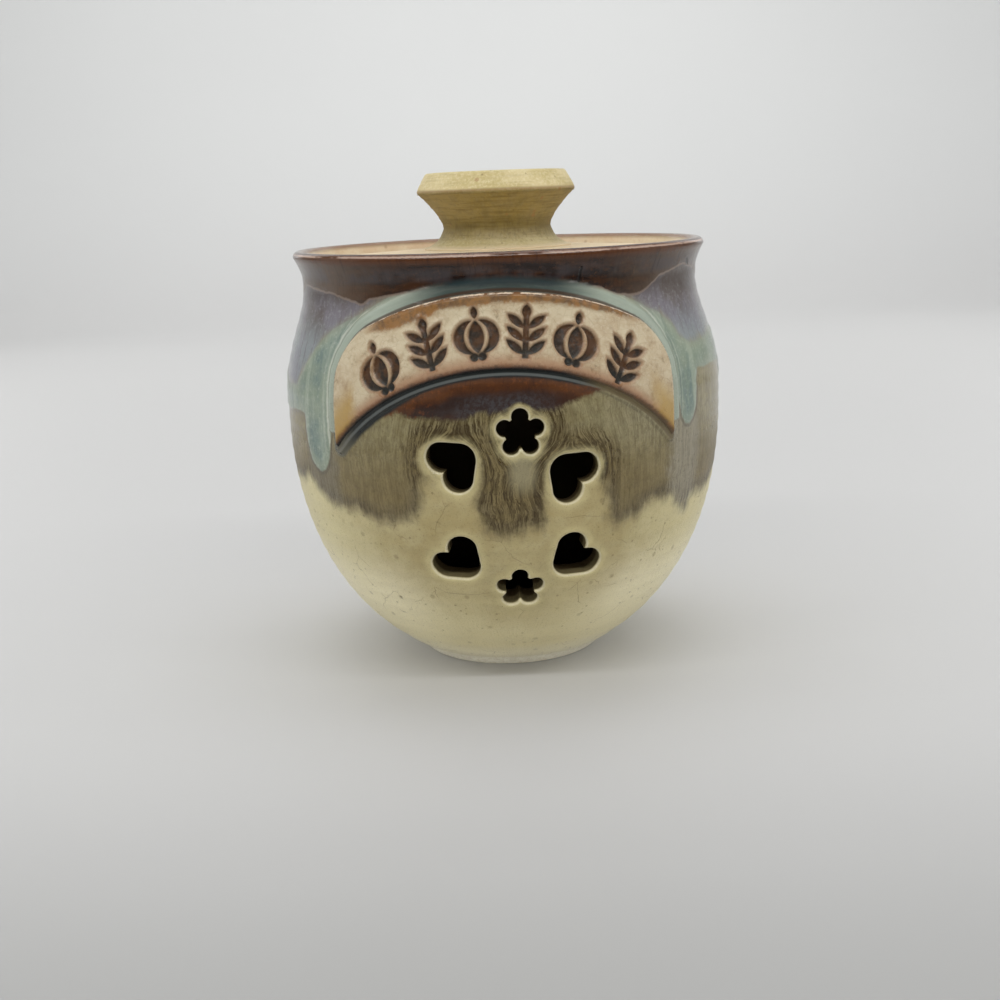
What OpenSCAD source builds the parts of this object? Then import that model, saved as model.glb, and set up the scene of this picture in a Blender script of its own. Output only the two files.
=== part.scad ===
// Garlic keeper: a thrown stoneware pot with vent holes, an arched label slab, and a lid with a knob.
// The pot stands on the plane z = 0 with its axis on Z, and its decorated front faces -Y.

/* [Body] */
// Height of the rim above the table
rim_height = 122; // [116:1:130]
// Widest diameter, at the belly
belly_d = 129.5; // [124:0.5:136]
// Height of the widest ring
belly_height = 76; // [72:1:80]
// Fullness of the lower belly: 2 is an ellipse, more is squarer
belly_fullness = 2.2; // [2:0.05:2.5]
// Diameter of the flat foot that the pot stands on
foot_d = 54; // [48:1:60]
// Height of the bare bevel round the foot
foot_band = 3; // [2:0.5:5]
// How far the bevel widens on each side
foot_flare = 3.2; // [2:0.1:4]
// Thickness of the wall at the belly
wall = 5.2; // [4.5:0.1:6]
// Thickness of the floor
floor_thickness = 9; // [7:0.5:12]
// Fullness of the hollow inside the lower belly
hollow_fullness = 2.35; // [2.2:0.05:2.6]

/* [Neck and rim] */
// Outer diameter of the neck under the rim
neck_d = 115.8; // [113:0.2:118]
// How far the neck lies below the top of the rim
neck_drop = 9.5; // [8.5:0.5:11]
// Outer diameter of the flared rim
rim_d = 120.4; // [119:0.2:123]
// Thickness of the rounded lip
lip_thickness = 3.5; // [3:0.1:4]
// Thickness of the wall at the neck
neck_wall = 3.6; // [3:0.1:4.2]

/* [Lid seat] */
// Depth of the seat below the top of the rim
seat_depth = 7.6; // [7:0.1:9]
// Width of the ledge that carries the lid
seat_width = 5; // [4:0.1:6]
// Thickness of the ledge at its inner edge
seat_thickness = 3; // [2:0.1:4]
// Height of the slope under the ledge
seat_slope = 7; // [6:0.5:9]

/* [Lid] */
// Gap round the lid, inside the rim
lid_gap = 0.9; // [0.5:0.1:1.5]
// Thickness of the lid at its edge
lid_edge = 4.6; // [4:0.1:5.5]
// Rise of the lid from its edge to the knob
lid_rise = 1.9; // [1:0.1:3]
// Depth of the shallow hollow under the lid
lid_hollow = 1.2; // [0.5:0.1:2]
// Width of the flat rim under the lid, outside the hollow
lid_land = 8.5; // [7:0.5:11]
// Radius of the rounded upper edge of the lid
lid_round = 1.5; // [1:0.1:2]

/* [Knob] */
// Diameter of the knob's foot, where it spreads onto the lid
knob_foot_d = 43.5; // [40:0.5:50]
// Diameter of the waist
waist_d = 31.8; // [26:0.2:34]
// Height of the waist above the lid
waist_height = 6.2; // [5:0.1:8]
// Diameter of the sharp edge
knob_d = 47; // [42:0.5:52]
// Height of the sharp edge above the lid
knob_edge_height = 16.2; // [14:0.1:20]
// Height of the bevel above the edge
knob_bevel_height = 5.5; // [4:0.1:7]
// Width of the bevel, seen from above
knob_bevel_width = 3; // [2:0.1:4]
// Width of the softened edge between the bevel and the top
knob_round = 1; // [0.5:0.1:1.5]
// Depth of the dish in the top of the knob
knob_dish = 1.3; // [0.5:0.1:2]

/* [Vents] */
// Radius of a heart's two lobes
lobe_r = 4; // [3.6:0.1:4.2]
// Distance between the middles of the two lobes
lobe_gap = 7; // [6:0.1:7.6]
// Radius of a heart's blunt tip
tip_r = 4.4; // [3:0.1:4.6]
// Distance from the lobes to the middle of the tip
tip_reach = 3.4; // [3:0.1:5]
// Diameter of a five-petalled flower
flower_d = 12.8; // [11:0.1:15]
// Radius of a flower's petals
petal_r = 2.2; // [1.8:0.1:2.6]
// Turn of the whole ring of vents round the pot, in degrees
vents_turn = 2.3; // [-5:0.1:5]
// Height of the middle of the ring of vents
vents_height = 54.2; // [53:0.1:56]

/* [Label slab] */
// Thickness of the slab on the wall
label_thickness = 2.8; // [2:0.1:4]
// Half of the angle that the slab spans, in degrees
label_half_turn = 43.4; // [40:0.2:46]
// Height of the top of the arch
label_top = 112.3; // [110.5:0.1:113]
// Height of the underside of the arch
label_bottom = 92.4; // [91:0.1:93.5]
// Radius of the upper curve of the arch
label_top_radius = 93; // [85:1:105]
// Radius of the lower curve of the arch
label_bottom_radius = 67; // [62:1:75]
// Radius of the two upper corners
label_corner = 9; // [6:0.5:11]

/* [Stamps] */
// Number of stamps pressed into the slab, bulbs and sprigs by turns
stamp_count = 6; // [4:1:6]
// Depth of each stamp
stamp_depth = 0.9; // [0.5:0.1:1.2]
// Distance from one stamp to the next, along the slab
stamp_pitch = 13.2; // [12.6:0.1:13.6]
// Height of a stamp
stamp_h = 14; // [11:0.1:14.5]
// Distance from the slab's lower edge up to the middle of a stamp
stamp_rise = 9.3; // [8.8:0.1:9.8]

/* [Hidden] */
$fn = 96;
curve_steps = 16; // straight runs in each long curve of a profile
small_steps = 8; // straight runs in each small round

belly_r = belly_d / 2;
foot_r = foot_d / 2;
bevel_r = foot_r + foot_flare;
neck_r = neck_d / 2;
neck_height = rim_height - neck_drop;
rim_r = rim_d / 2;
lip_r = lip_thickness / 2;
lip_height = rim_height - lip_r;
seat_height = rim_height - seat_depth;
seat_r = neck_r - neck_wall;
mouth_r = seat_r - seat_width;
slope_height = seat_height - seat_thickness - seat_slope;
hollow_r = belly_r - wall;
lid_r = seat_r - lid_gap;
lid_edge_height = seat_height + lid_edge;
lid_top_height = lid_edge_height + lid_rise;
knob_foot_r = knob_foot_d / 2;
knob_r = knob_d / 2;
waist_r = waist_d / 2;
knob_top = knob_edge_height + knob_bevel_height;
shoulder_power = 1.4; // above 1 keeps the shoulder full before it draws in
knob_curve = 1.42; // above 1 hollows the underside of the knob
foot_fullness = 1.7; // below 2 draws the spread of the knob's foot in
edge_step = 0.3; // height of the small upright edge of the knob's foot
flower_waist = 0.95; // reach of the notches between the petals, as a share of the petals' middles
vent_reach = 3 * wall; // how far each vent is cut, in and out from the wall's surface
label_margin = label_thickness / 3; // how far the slab's ring reaches past its outline, above and below

// Quarter of a superellipse: 1 at t = 0 and 0 at t = 1.
function quarter(t, n) = pow(max(0, 1 - pow(t, n)), 1 / n);

// The belly's curve is stretched so that it passes through the top of the bevel.
belly_drop = (belly_height - foot_band) / quarter(bevel_r / belly_r, belly_fullness);

function lower_r(z) = belly_r * quarter((belly_height - z) / belly_drop, belly_fullness);
function shoulder_r(z) = let (t = (z - belly_height) / (neck_height - belly_height))
    belly_r - (belly_r - neck_r) * (1 - cos(180 * pow(t, shoulder_power))) / 2;
function flare_r(z) = let (t = (z - neck_height) / (lip_height - neck_height))
    neck_r + (rim_r - neck_r) * t * t * (3 - t) / 2;
// Outer radius of the pot at height z.
function outer_r(z) = z <= belly_height ? lower_r(z)
    : z <= neck_height ? shoulder_r(z)
    : flare_r(min(z, lip_height));
// Inner radius of the hollow, below the slope under the lid's seat.
function inner_r(z) = z <= belly_height
    ? hollow_r * quarter((belly_height - z) / (belly_height - floor_thickness), hollow_fullness)
    : outer_r(z) - wall;
// Upward tilt of the wall's outward normal at height z, in degrees.
function wall_tilt(z) = let (h = 0.05) atan((outer_r(z - h) - outer_r(z + h)) / (2 * h));

function between(a, b, k, steps) = a + (b - a) * k / steps;

outer_points = concat(
    [[0, 0], [foot_r, 0]],
    // equal steps of the curve's angle keep the runs even where it turns fastest
    [for (k = [0:curve_steps]) let (a = between(asin((belly_height - foot_band) / belly_drop), 0, k, curve_steps),
        z = belly_height - belly_drop * sin(a)) [outer_r(z), z]],
    [for (k = [1:curve_steps]) let (z = between(belly_height, neck_height, k, curve_steps)) [outer_r(z), z]],
    [for (k = [1:small_steps]) let (z = between(neck_height, lip_height, k, small_steps)) [outer_r(z), z]]
);
lip_points = [for (k = [1:2 * small_steps]) let (a = between(0, 180, k, 2 * small_steps))
    [rim_r - lip_r + lip_r * cos(a), lip_height + lip_r * sin(a)]];
seat_points = [
    [seat_r, seat_height],
    [mouth_r, seat_height],
    [mouth_r, seat_height - seat_thickness]
];
inner_points = concat(
    [for (k = [0:curve_steps / 2]) let (z = between(slope_height, belly_height, k, curve_steps / 2))
        [inner_r(z), z]],
    [for (k = [1:curve_steps]) let (a = between(0, 90, k, curve_steps),
        z = belly_height - (belly_height - floor_thickness) * sin(a)) [inner_r(z), z]]
);

// A point of the wall's surface, with the local Z axis along its outward normal and the local Y axis up the wall.
module on_wall(turn, height, lift = 0) {
    rotate([0, 0, turn])
        translate([0, -outer_r(height), height])
            rotate([90 - wall_tilt(height), 0, 0])
                translate([0, 0, lift])
                    children();
}

// ---- vents ----

// Points along an arc.
function arc(middle, r, from, to, steps) = [for (k = [0:steps])
    let (a = between(from, to, k, steps)) middle + r * [cos(a), sin(a)]];

// Heart with a blunt tip that points down; its middle lies midway between its lobes and its tip.
module heart() {
    lobe = [lobe_gap / 2, tip_reach / 2];
    tip = [0, -tip_reach / 2];
    // direction, from each circle's middle, of the points where the straight side touches it
    touch = atan2(lobe[1] - tip[1], lobe[0]) - 180 + acos((lobe_r - tip_r) / norm(lobe - tip));
    notch = 180 - acos(min(1, lobe[0] / lobe_r));
    half = concat(
        arc(tip, tip_r, -90, touch, small_steps),
        arc(lobe, lobe_r, touch, notch, 2 * small_steps)
    );
    last = len(half) - 1;
    polygon(concat(half, [for (k = [0:last - 1]) [-half[last - k][0], half[last - k][1]]]));
}

// Five round petals on a star, with one petal up.
module flower() {
    petal_reach = flower_d / 2 - petal_r;
    star_reach = [petal_reach, petal_reach * flower_waist];
    polygon([for (k = [0:9]) star_reach[k % 2] * [cos(90 + 36 * k), sin(90 + 36 * k)]]);
    for (k = [0:4])
        rotate(90 + 72 * k)
            translate([petal_reach, 0])
                circle(r = petal_r);
}

// Each vent, from the ring's middle: kind, turn in degrees, height, spin in degrees.
vents = [
    ["flower", 1.3, 22, 0],
    ["heart", -14.5, 14.2, 128],
    ["heart", 13.2, 10.1, 230],
    ["heart", -15.5, -13.6, 46],
    ["heart", 14.9, -14, 310],
    ["flower", 0.4, -22.5, 0]
];

module vent_cuts() {
    for (v = vents)
        on_wall(vents_turn + v[1], vents_height + v[2])
            rotate(v[3])
                linear_extrude(height = 2 * vent_reach, center = true)
                    if (v[0] == "heart") heart();
                    else flower();
}

// ---- label slab ----

// Distance along the wall at the belly, from an angle round the pot.
function along(turn) = belly_r * turn * PI / 180;
label_half = along(label_half_turn);

// Upper edge of the slab at distance u from its middle, with rounded corners.
function label_top_z(u) = let (into = max(0, label_corner - (label_half - abs(u))))
    label_top - label_top_radius + sqrt(pow(label_top_radius, 2) - u * u)
    - label_corner + sqrt(max(0, pow(label_corner, 2) - into * into));
// Lower edge of the slab at distance u from its middle.
function label_bottom_z(u) = label_bottom - label_bottom_radius + sqrt(pow(label_bottom_radius, 2) - u * u);

label_steps = 30;
label_turns = [for (k = [0:label_steps])
    // the steps shorten towards the ends, where the corners turn
    label_half_turn * sin(between(-90, 90, k, label_steps))];
// Place of the slab's outline seen from the front, at an angle round the pot and a height.
function label_x(turn, z) = (outer_r(z) + label_thickness) * sin(turn);

module label_outline() {
    last = label_steps;
    polygon(concat(
        [for (k = [0:last]) let (a = label_turns[k], z = label_bottom_z(along(a))) [label_x(a, z), z]],
        [for (k = [0:last]) let (a = label_turns[last - k], z = label_top_z(along(a))) [label_x(a, z), z]]
    ));
}

label_low = label_bottom_z(label_half) - label_margin;
label_high = label_top + label_margin;

// Half section of the whole pot.
module pot_section() {
    polygon(concat(outer_points, lip_points, seat_points, inner_points));
}

// Ring of the slab's thickness. It starts inside the wall, which is then taken away from it.
module label_ring() {
    heights = [for (k = [0:curve_steps]) between(label_low, label_high, k, curve_steps)];
    rotate_extrude()
        difference() {
            polygon(concat(
                [for (z = heights) [outer_r(z) + label_thickness, z]],
                [for (k = [0:curve_steps]) let (z = heights[curve_steps - k]) [outer_r(z) - neck_wall / 2, z]]
            ));
            pot_section();
        }
}

// Pointed oval of two arcs, w wide and h high, with a point up and a point down.
module pointed_oval(w, h) {
    arc_r = (w * w + h * h) / (4 * w);
    reach = asin(h / 2 / arc_r);
    right = arc([w / 2 - arc_r, 0], arc_r, -reach, reach, small_steps);
    left = arc([arc_r - w / 2, 0], arc_r, 180 - reach, 180 + reach, small_steps);
    polygon(concat(right, [for (k = [1:small_steps - 1]) left[k]]));
}

// Points of an arc that bulges to +X between two ends, h apart on the Y axis, from the lower to the upper.
function bulging(bulge, h) = let (r = (bulge * bulge + h * h / 4) / (2 * bulge), reach = 2 * atan(2 * bulge / h))
    arc([bulge - r, 0], r, -reach, reach, small_steps);

// Garlic bulb: a clove in the middle, one curved round each side of it, a stem and a root.
module bulb() {
    clove_h = 0.62 * stamp_h;
    outer = bulging(0.37 * stamp_h, clove_h);
    inner = bulging(0.18 * stamp_h, clove_h);
    translate([0, -0.07 * stamp_h]) {
        pointed_oval(0.28 * stamp_h, clove_h);
        for (s = [-1, 1])
            polygon([for (p = concat(outer, [for (k = [1:small_steps - 1]) inner[small_steps - k]]))
                [s * (p[0] + 0.05 * stamp_h), p[1]]]);
    }
    translate([0, 0.39 * stamp_h]) pointed_oval(0.13 * stamp_h, 0.24 * stamp_h);
    translate([0, -0.44 * stamp_h]) pointed_oval(0.3 * stamp_h, 0.06 * stamp_h);
}

// Upright sprig: a stem with three pairs of leaves.
module sprig() {
    stem_w = 0.11 * stamp_h;
    translate([-stem_w / 2, -stamp_h / 2])
        square([stem_w, 0.86 * stamp_h]);
    translate([0, 0.37 * stamp_h]) pointed_oval(0.17 * stamp_h, 0.28 * stamp_h);
    for (s = [-1, 1], k = [-1:1])
        translate([s * 0.19 * stamp_h, k * 0.24 * stamp_h - 0.06 * stamp_h])
            rotate(-52 * s)
                pointed_oval(0.15 * stamp_h, 0.42 * stamp_h);
}

module stamp_cuts() {
    for (k = [0:stamp_count - 1]) {
        u = (k - (stamp_count - 1) / 2) * stamp_pitch;
        z = label_bottom_z(u) + stamp_rise;
        on_wall(u / belly_r * 180 / PI, z, label_thickness - stamp_depth)
            rotate(-asin(u / label_bottom_radius))
                linear_extrude(height = 3 * label_thickness)
                    if (k % 2 == 0) bulb();
                    else sprig();
    }
}

// ---- nodes ----

module pot_body() {
    color("tan")
        difference() {
            rotate_extrude()
                pot_section();
            vent_cuts();
        }
}

module label_plaque() {
    color("wheat")
        difference() {
            intersection() {
                label_ring();
                rotate([90, 0, 0])
                    linear_extrude(height = 2 * belly_r)
                        label_outline();
            }
            stamp_cuts();
        }
}

module lid_plate() {
    hollow_edge = lid_r - lid_land;
    color("palegoldenrod")
        translate([0, 0, seat_height])
            rotate_extrude()
                polygon(concat(
                    [[0, lid_hollow], [hollow_edge - lid_hollow, lid_hollow], [hollow_edge, 0],
                     [lid_r - lid_round / 2, 0], [lid_r, lid_round / 2]],
                    [for (k = [0:small_steps]) let (a = between(0, 90, k, small_steps))
                        [lid_r - lid_round + lid_round * cos(a), lid_edge - lid_round + lid_round * sin(a)]],
                    [[knob_foot_r, lid_edge + lid_rise], [0, lid_edge + lid_rise]]
                ));
}

module lid_knob() {
    foot_curve = [for (k = [0:small_steps]) let (t = 1 - k / small_steps,
        reach = 1 - quarter(t, foot_fullness))
        [waist_r + (knob_foot_r - waist_r) * reach, waist_height - (waist_height - edge_step) * t]];
    under_curve = [for (k = [1:curve_steps / 2]) let (t = 2 * k / curve_steps)
        [waist_r + (knob_r - waist_r) * pow(t, knob_curve),
         waist_height + (knob_edge_height - waist_height) * t]];
    top_r = knob_r - knob_bevel_width;
    bevel_way = [knob_bevel_width, -knob_bevel_height] / norm([knob_bevel_width, knob_bevel_height]);
    round_curve = [for (k = [0:small_steps / 2]) let (t = 2 * k / small_steps)
        [top_r, knob_top] + (1 - t) * (1 - t) * knob_round * bevel_way - t * t * [knob_round, 0]];
    dish_curve = [for (k = [1:small_steps]) let (t = k / small_steps)
        [(top_r - knob_round) * (1 - t), knob_top - knob_dish * (1 - cos(180 * t)) / 2]];
    color("palegoldenrod")
        translate([0, 0, lid_top_height])
            rotate_extrude()
                polygon(concat(
                    [[0, 0], [knob_foot_r, 0]],
                    foot_curve,
                    under_curve,
                    round_curve,
                    dish_curve
                ));
}

pot_body();
label_plaque();
lid_plate();
lid_knob();
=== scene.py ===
"""A thrown stoneware garlic keeper: a round pot with cut vents and an arched slab, and a lid with a knob.

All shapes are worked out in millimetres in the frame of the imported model, with the pot's axis on Z and its
front towards -Y, and are turned into metres when a mesh is made. An angle round the pot is 0 at the front
and grows towards +X; the distance along the wall is that angle times the radius of the belly.
"""
import math

import bpy
import numpy as np
from mathutils import Matrix, Vector


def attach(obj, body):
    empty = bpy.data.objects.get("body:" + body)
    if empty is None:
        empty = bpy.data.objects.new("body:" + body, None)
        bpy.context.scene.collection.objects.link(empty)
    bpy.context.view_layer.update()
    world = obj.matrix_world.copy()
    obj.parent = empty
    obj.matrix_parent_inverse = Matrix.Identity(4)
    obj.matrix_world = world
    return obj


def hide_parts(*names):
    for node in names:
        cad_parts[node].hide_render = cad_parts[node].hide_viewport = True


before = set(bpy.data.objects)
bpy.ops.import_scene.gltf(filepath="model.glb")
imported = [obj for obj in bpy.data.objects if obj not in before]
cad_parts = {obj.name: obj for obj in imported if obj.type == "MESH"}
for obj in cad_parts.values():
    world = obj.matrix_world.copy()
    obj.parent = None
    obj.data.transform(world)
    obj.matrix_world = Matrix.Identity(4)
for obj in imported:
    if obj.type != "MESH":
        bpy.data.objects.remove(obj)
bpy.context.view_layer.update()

MM = 0.001

# ---- driving dimensions, in millimetres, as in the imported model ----

RIM_HEIGHT = 122.0
BELLY_R = 64.75
BELLY_HEIGHT = 76.0
BELLY_FULLNESS = 2.2
FOOT_R = 27.0
FOOT_BAND = 3.0
FOOT_FLARE = 3.2
WALL = 5.2
FLOOR_THICKNESS = 9.0
HOLLOW_FULLNESS = 2.35
NECK_R = 57.9
NECK_HEIGHT = 112.5
SHOULDER_POWER = 1.4
RIM_R = 60.2
LIP_R = 1.75
LIP_HEIGHT = RIM_HEIGHT - LIP_R
SEAT_HEIGHT = 114.4
SEAT_R = 54.3
MOUTH_R = 49.3
SEAT_THICKNESS = 3.0
SEAT_SLOPE = 7.0
HOLLOW_R = BELLY_R - WALL

LID_R = 53.4
LID_EDGE = 4.6
LID_RISE = 1.9
LID_HOLLOW = 1.2
LID_LAND = 8.5
LID_ROUND = 1.5
LID_TOP = SEAT_HEIGHT + LID_EDGE + LID_RISE

KNOB_FOOT_R = 21.75
WAIST_R = 15.9
WAIST_HEIGHT = 6.2
KNOB_R = 23.5
KNOB_EDGE_HEIGHT = 16.2
KNOB_BEVEL_HEIGHT = 5.5
KNOB_BEVEL_WIDTH = 3.0
KNOB_ROUND = 1.0
KNOB_DISH = 1.3
KNOB_CURVE = 1.42

LOBE_R = 4.0
LOBE_GAP = 7.0
TIP_R = 4.4
TIP_REACH = 3.4
FLOWER_R = 6.4
PETAL_R = 2.2
FLOWER_WAIST = 0.95
VENTS_TURN = 2.3
VENTS_HEIGHT = 54.2
VENT_LIP = 1.15
INNER_LIP = 0.6
# Gap between a lip and the window cut for it in the wall's grid, outside and inside, and the inset of the
# first and last rings from their windows.
WINDOW_GAP = 0.25
INNER_WINDOW_GAP = 0.4
RING_INSET = 0.1
# Each vent: kind, turn in degrees and height from the middle of the ring, spin in degrees.
VENTS = (
    ("flower", 1.3, 22.0, 0.0),
    ("heart", -14.5, 14.2, 128.0),
    ("heart", 13.2, 10.1, 230.0),
    ("heart", -15.5, -13.6, 46.0),
    ("heart", 14.9, -14.0, 310.0),
    ("flower", 0.4, -22.5, 0.0),
)

LABEL_THICKNESS = 2.8
LABEL_HALF = BELLY_R * math.radians(43.4)
LABEL_TOP = 112.3
LABEL_BOTTOM = 92.4
LABEL_TOP_RADIUS = 93.0
LABEL_BOTTOM_RADIUS = 67.0
LABEL_CORNER = 9.0
LABEL_ROUND = 1.9
# Unevenness of the slab's face, and how far its back lies inside the wall.
SLAB_WAVES = 0.05
SLAB_SUNK = 0.8

STAMP_COUNT = 6
STAMP_DEPTH = 0.9
STAMP_WALL = 0.5
STAMP_SWELL = 0.14
STAMP_PITCH = 13.2
STAMP_H = 14.0
STAMP_RISE = 9.3

# ---- camera ----

PHOTO_SIDE = 1000
FOCAL_PIXELS = 1300.0
SENSOR = 36.0
EYE = Vector((0.0, -0.392, 0.1366))
YAW = math.radians(-0.33)
PITCH = math.radians(13.33)
ROLL = math.radians(-2.23)


def make_camera():
    """The camera looks from EYE along the direction that YAW and PITCH give, turned by ROLL about it."""
    forward = Vector((math.sin(YAW) * math.cos(PITCH), math.cos(YAW) * math.cos(PITCH), -math.sin(PITCH)))
    right = Vector((math.cos(YAW), -math.sin(YAW), 0.0))
    up = right.cross(forward)
    right_rolled = math.cos(ROLL) * right + math.sin(ROLL) * up
    up_rolled = math.cos(ROLL) * up - math.sin(ROLL) * right
    data = bpy.data.cameras.new("camera")
    data.sensor_width = SENSOR
    data.lens = FOCAL_PIXELS / PHOTO_SIDE * SENSOR
    camera = bpy.data.objects.new("camera", data)
    turn = Matrix((right_rolled, up_rolled, -forward)).transposed().to_4x4()
    camera.matrix_world = Matrix.Translation(EYE) @ turn
    bpy.context.scene.collection.objects.link(camera)
    bpy.context.scene.camera = camera


# ---- profiles ----


def quarter(t, n):
    """Quarter of a superellipse: (1 - t^n)^(1/n), 1 at t = 0 and 0 at t = 1."""
    return np.maximum(0.0, 1.0 - np.clip(t, 0.0, 1.0) ** n) ** (1.0 / n)


BELLY_DROP = (BELLY_HEIGHT - FOOT_BAND) / float(quarter((FOOT_R + FOOT_FLARE) / BELLY_R, BELLY_FULLNESS))


def outer_r(z):
    """Outer radius at height z: a superellipse up to the belly, a leaning cosine to the neck,
    then a flare."""
    z = np.asarray(z, float)
    low = BELLY_R * quarter((BELLY_HEIGHT - z) / BELLY_DROP, BELLY_FULLNESS)
    t = np.clip((z - BELLY_HEIGHT) / (NECK_HEIGHT - BELLY_HEIGHT), 0.0, 1.0) ** SHOULDER_POWER
    high = BELLY_R - (BELLY_R - NECK_R) * (1.0 - np.cos(math.pi * t)) / 2.0
    f = np.clip((z - NECK_HEIGHT) / (LIP_HEIGHT - NECK_HEIGHT), 0.0, 1.0)
    flare = NECK_R + (RIM_R - NECK_R) * f * f * (3.0 - f) / 2.0
    return np.where(z <= BELLY_HEIGHT, low, np.where(z <= NECK_HEIGHT, high, flare))


def inner_r(z):
    """Inner radius at height z: a fuller superellipse below the belly, and above it the outer radius
    less the wall."""
    z = np.asarray(z, float)
    low = HOLLOW_R * quarter((BELLY_HEIGHT - z) / (BELLY_HEIGHT - FLOOR_THICKNESS), HOLLOW_FULLNESS)
    return np.where(z <= BELLY_HEIGHT, low, outer_r(z) - WALL)


def tilt_at(z):
    """Upward tilt of the wall's outward normal, from the slope of the outer radius."""
    h = 0.05
    return np.arctan((outer_r(z - h) - outer_r(z + h)) / (2.0 * h))


def smooth_step(t):
    """Cubic from 0 at t <= 0 to 1 at t >= 1, with level ends."""
    t = np.clip(t, 0.0, 1.0)
    return t * t * (3.0 - 2.0 * t)


def run_along(points):
    """Length of the polyline through the points, from its start to each of them."""
    return np.concatenate(([0.0], np.cumsum(np.hypot(*np.diff(points, axis=0).T))))


def evenly(points, step):
    """The polyline through the points, cut into equal lengths of about one step."""
    points = np.asarray(points, float)
    run = run_along(points)
    count = max(2, int(round(run[-1] / step)) + 1)
    at = np.linspace(0.0, run[-1], count)
    return np.stack([np.interp(at, run, points[:, 0]), np.interp(at, run, points[:, 1])], axis=1)


def soften(corners, rounds, steps=5):
    """Each inner corner becomes a parabola that starts and ends one round away from it along
    the two sides."""
    corners = np.asarray(corners, float)
    t = np.linspace(0.0, 1.0, steps)[:, None]
    runs = [corners[:1]]
    for before, corner, after, reach in zip(corners, corners[1:], corners[2:], rounds):
        start = corner + (before - corner) * reach / np.linalg.norm(before - corner)
        end = corner + (after - corner) * reach / np.linalg.norm(after - corner)
        runs.append((1 - t) ** 2 * start + 2 * t * (1 - t) * corner + t ** 2 * end)
    runs.append(corners[-1:])
    return np.concatenate(runs)


# ---- meshes ----


def make_mesh(name, points, quads, triangles, attributes):
    """A mesh object in metres from points in millimetres; each attribute is one number for every point."""
    quads = np.asarray(quads, np.int64).reshape(-1, 4)
    triangles = np.asarray(triangles, np.int64).reshape(-1, 3)
    used = np.zeros(len(points), bool)
    used[quads.ravel()] = True
    used[triangles.ravel()] = True
    place = np.cumsum(used) - 1
    quads, triangles = place[quads], place[triangles]
    mesh = bpy.data.meshes.new(name)
    mesh.vertices.add(int(used.sum()))
    mesh.vertices.foreach_set("co", (points[used] * MM).astype(np.float32).ravel())
    corners = np.concatenate((quads.ravel(), triangles.ravel())).astype(np.int32)
    sizes = np.concatenate((np.full(len(quads), 4), np.full(len(triangles), 3)))
    mesh.loops.add(len(corners))
    mesh.loops.foreach_set("vertex_index", corners)
    mesh.polygons.add(len(sizes))
    mesh.polygons.foreach_set("loop_start", (np.cumsum(sizes) - sizes).astype(np.int32))
    mesh.update(calc_edges=True)
    mesh.validate()
    mesh.polygons.foreach_set("use_smooth", np.ones(len(sizes), bool))
    for key, values in attributes.items():
        values = np.asarray(values, np.float32)[used]
        kind, field = ("FLOAT", "value") if values.ndim == 1 else ("FLOAT_VECTOR", "vector")
        mesh.attributes.new(key, kind, "POINT").data.foreach_set(field, values.ravel())
    mesh.update()
    piece = bpy.data.objects.new(name, mesh)
    bpy.context.scene.collection.objects.link(piece)
    return piece


def about_axis(radius, turn, z):
    """Points at a radius, an angle round the pot and a height."""
    return np.stack(np.broadcast_arrays(radius * np.sin(turn), -radius * np.cos(turn), z), axis=-1)


def off_wall(turn, z, lift):
    """Points of the outer wall at an angle and height, moved along its normal by a lift."""
    tilt = tilt_at(z)
    return about_axis(outer_r(z) + lift * np.cos(tilt), turn, z + lift * np.sin(tilt))


def grid_quads(rows, columns, closed):
    """Corners of the cells between neighbouring rows and columns, facing out where the rows run up
    the outside."""
    row = np.arange(rows - 1)[:, None] * columns
    column = np.arange(columns if closed else columns - 1)[None, :]
    after = (column + 1) % columns
    return np.stack([row + column, row + after, row + columns + after, row + columns + column], axis=2)


def fan(ring, middle, upward):
    """Triangles that close a ring of points to its middle, facing up or down the axis."""
    after = np.roll(ring, -1)
    centre = np.full(len(ring), middle)
    order = (ring, after, centre) if upward else (after, ring, centre)
    return np.stack(order, axis=1)


def turned(name, rows, columns):
    """A closed turned solid: a profile from axis to axis, carried round Z, with a point at each end."""
    turns = np.linspace(0.0, 2.0 * math.pi, columns, endpoint=False)
    body = about_axis(rows[1:-1, :1], turns, rows[1:-1, 1:]).reshape(-1, 3)
    ends = np.array([[0.0, 0.0, rows[0, 1]], [0.0, 0.0, rows[-1, 1]]])
    points = np.concatenate((body, ends))
    count = len(rows) - 2
    quads = grid_quads(count, columns, True).reshape(-1, 4)
    first = np.arange(columns)
    last = first + (count - 1) * columns
    triangles = np.concatenate((fan(first, len(body), False), fan(last, len(body) + 1, True)))
    return make_mesh(name, points, quads, triangles, {})


# ---- the vents ----


def arc(middle, radius, start, end, count=24):
    """Points along a circle's arc, with its angles in radians."""
    a = np.linspace(start, end, count)
    return np.stack([middle[0] + radius * np.cos(a), middle[1] + radius * np.sin(a)], axis=1)


def heart_outline():
    """Two round lobes and a blunt tip, joined by the straight sides that touch them. The point from which
    the outline is seen whole is a little up the heart."""
    lobe = np.array([LOBE_GAP / 2, TIP_REACH / 2])
    tip = np.array([0.0, -TIP_REACH / 2])
    away = lobe - tip
    touch = math.atan2(away[1], away[0]) - math.pi + math.acos((LOBE_R - TIP_R) / np.linalg.norm(away))
    notch = math.pi - math.acos(min(1.0, lobe[0] / LOBE_R))
    half = np.concatenate((arc(tip, TIP_R, -math.pi / 2, touch), arc(lobe, LOBE_R, touch, notch, 60)))
    mirror = half[::-1][1:-1] * [-1.0, 1.0]
    return np.concatenate((half, mirror)), np.array([0.0, 1.0])


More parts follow.
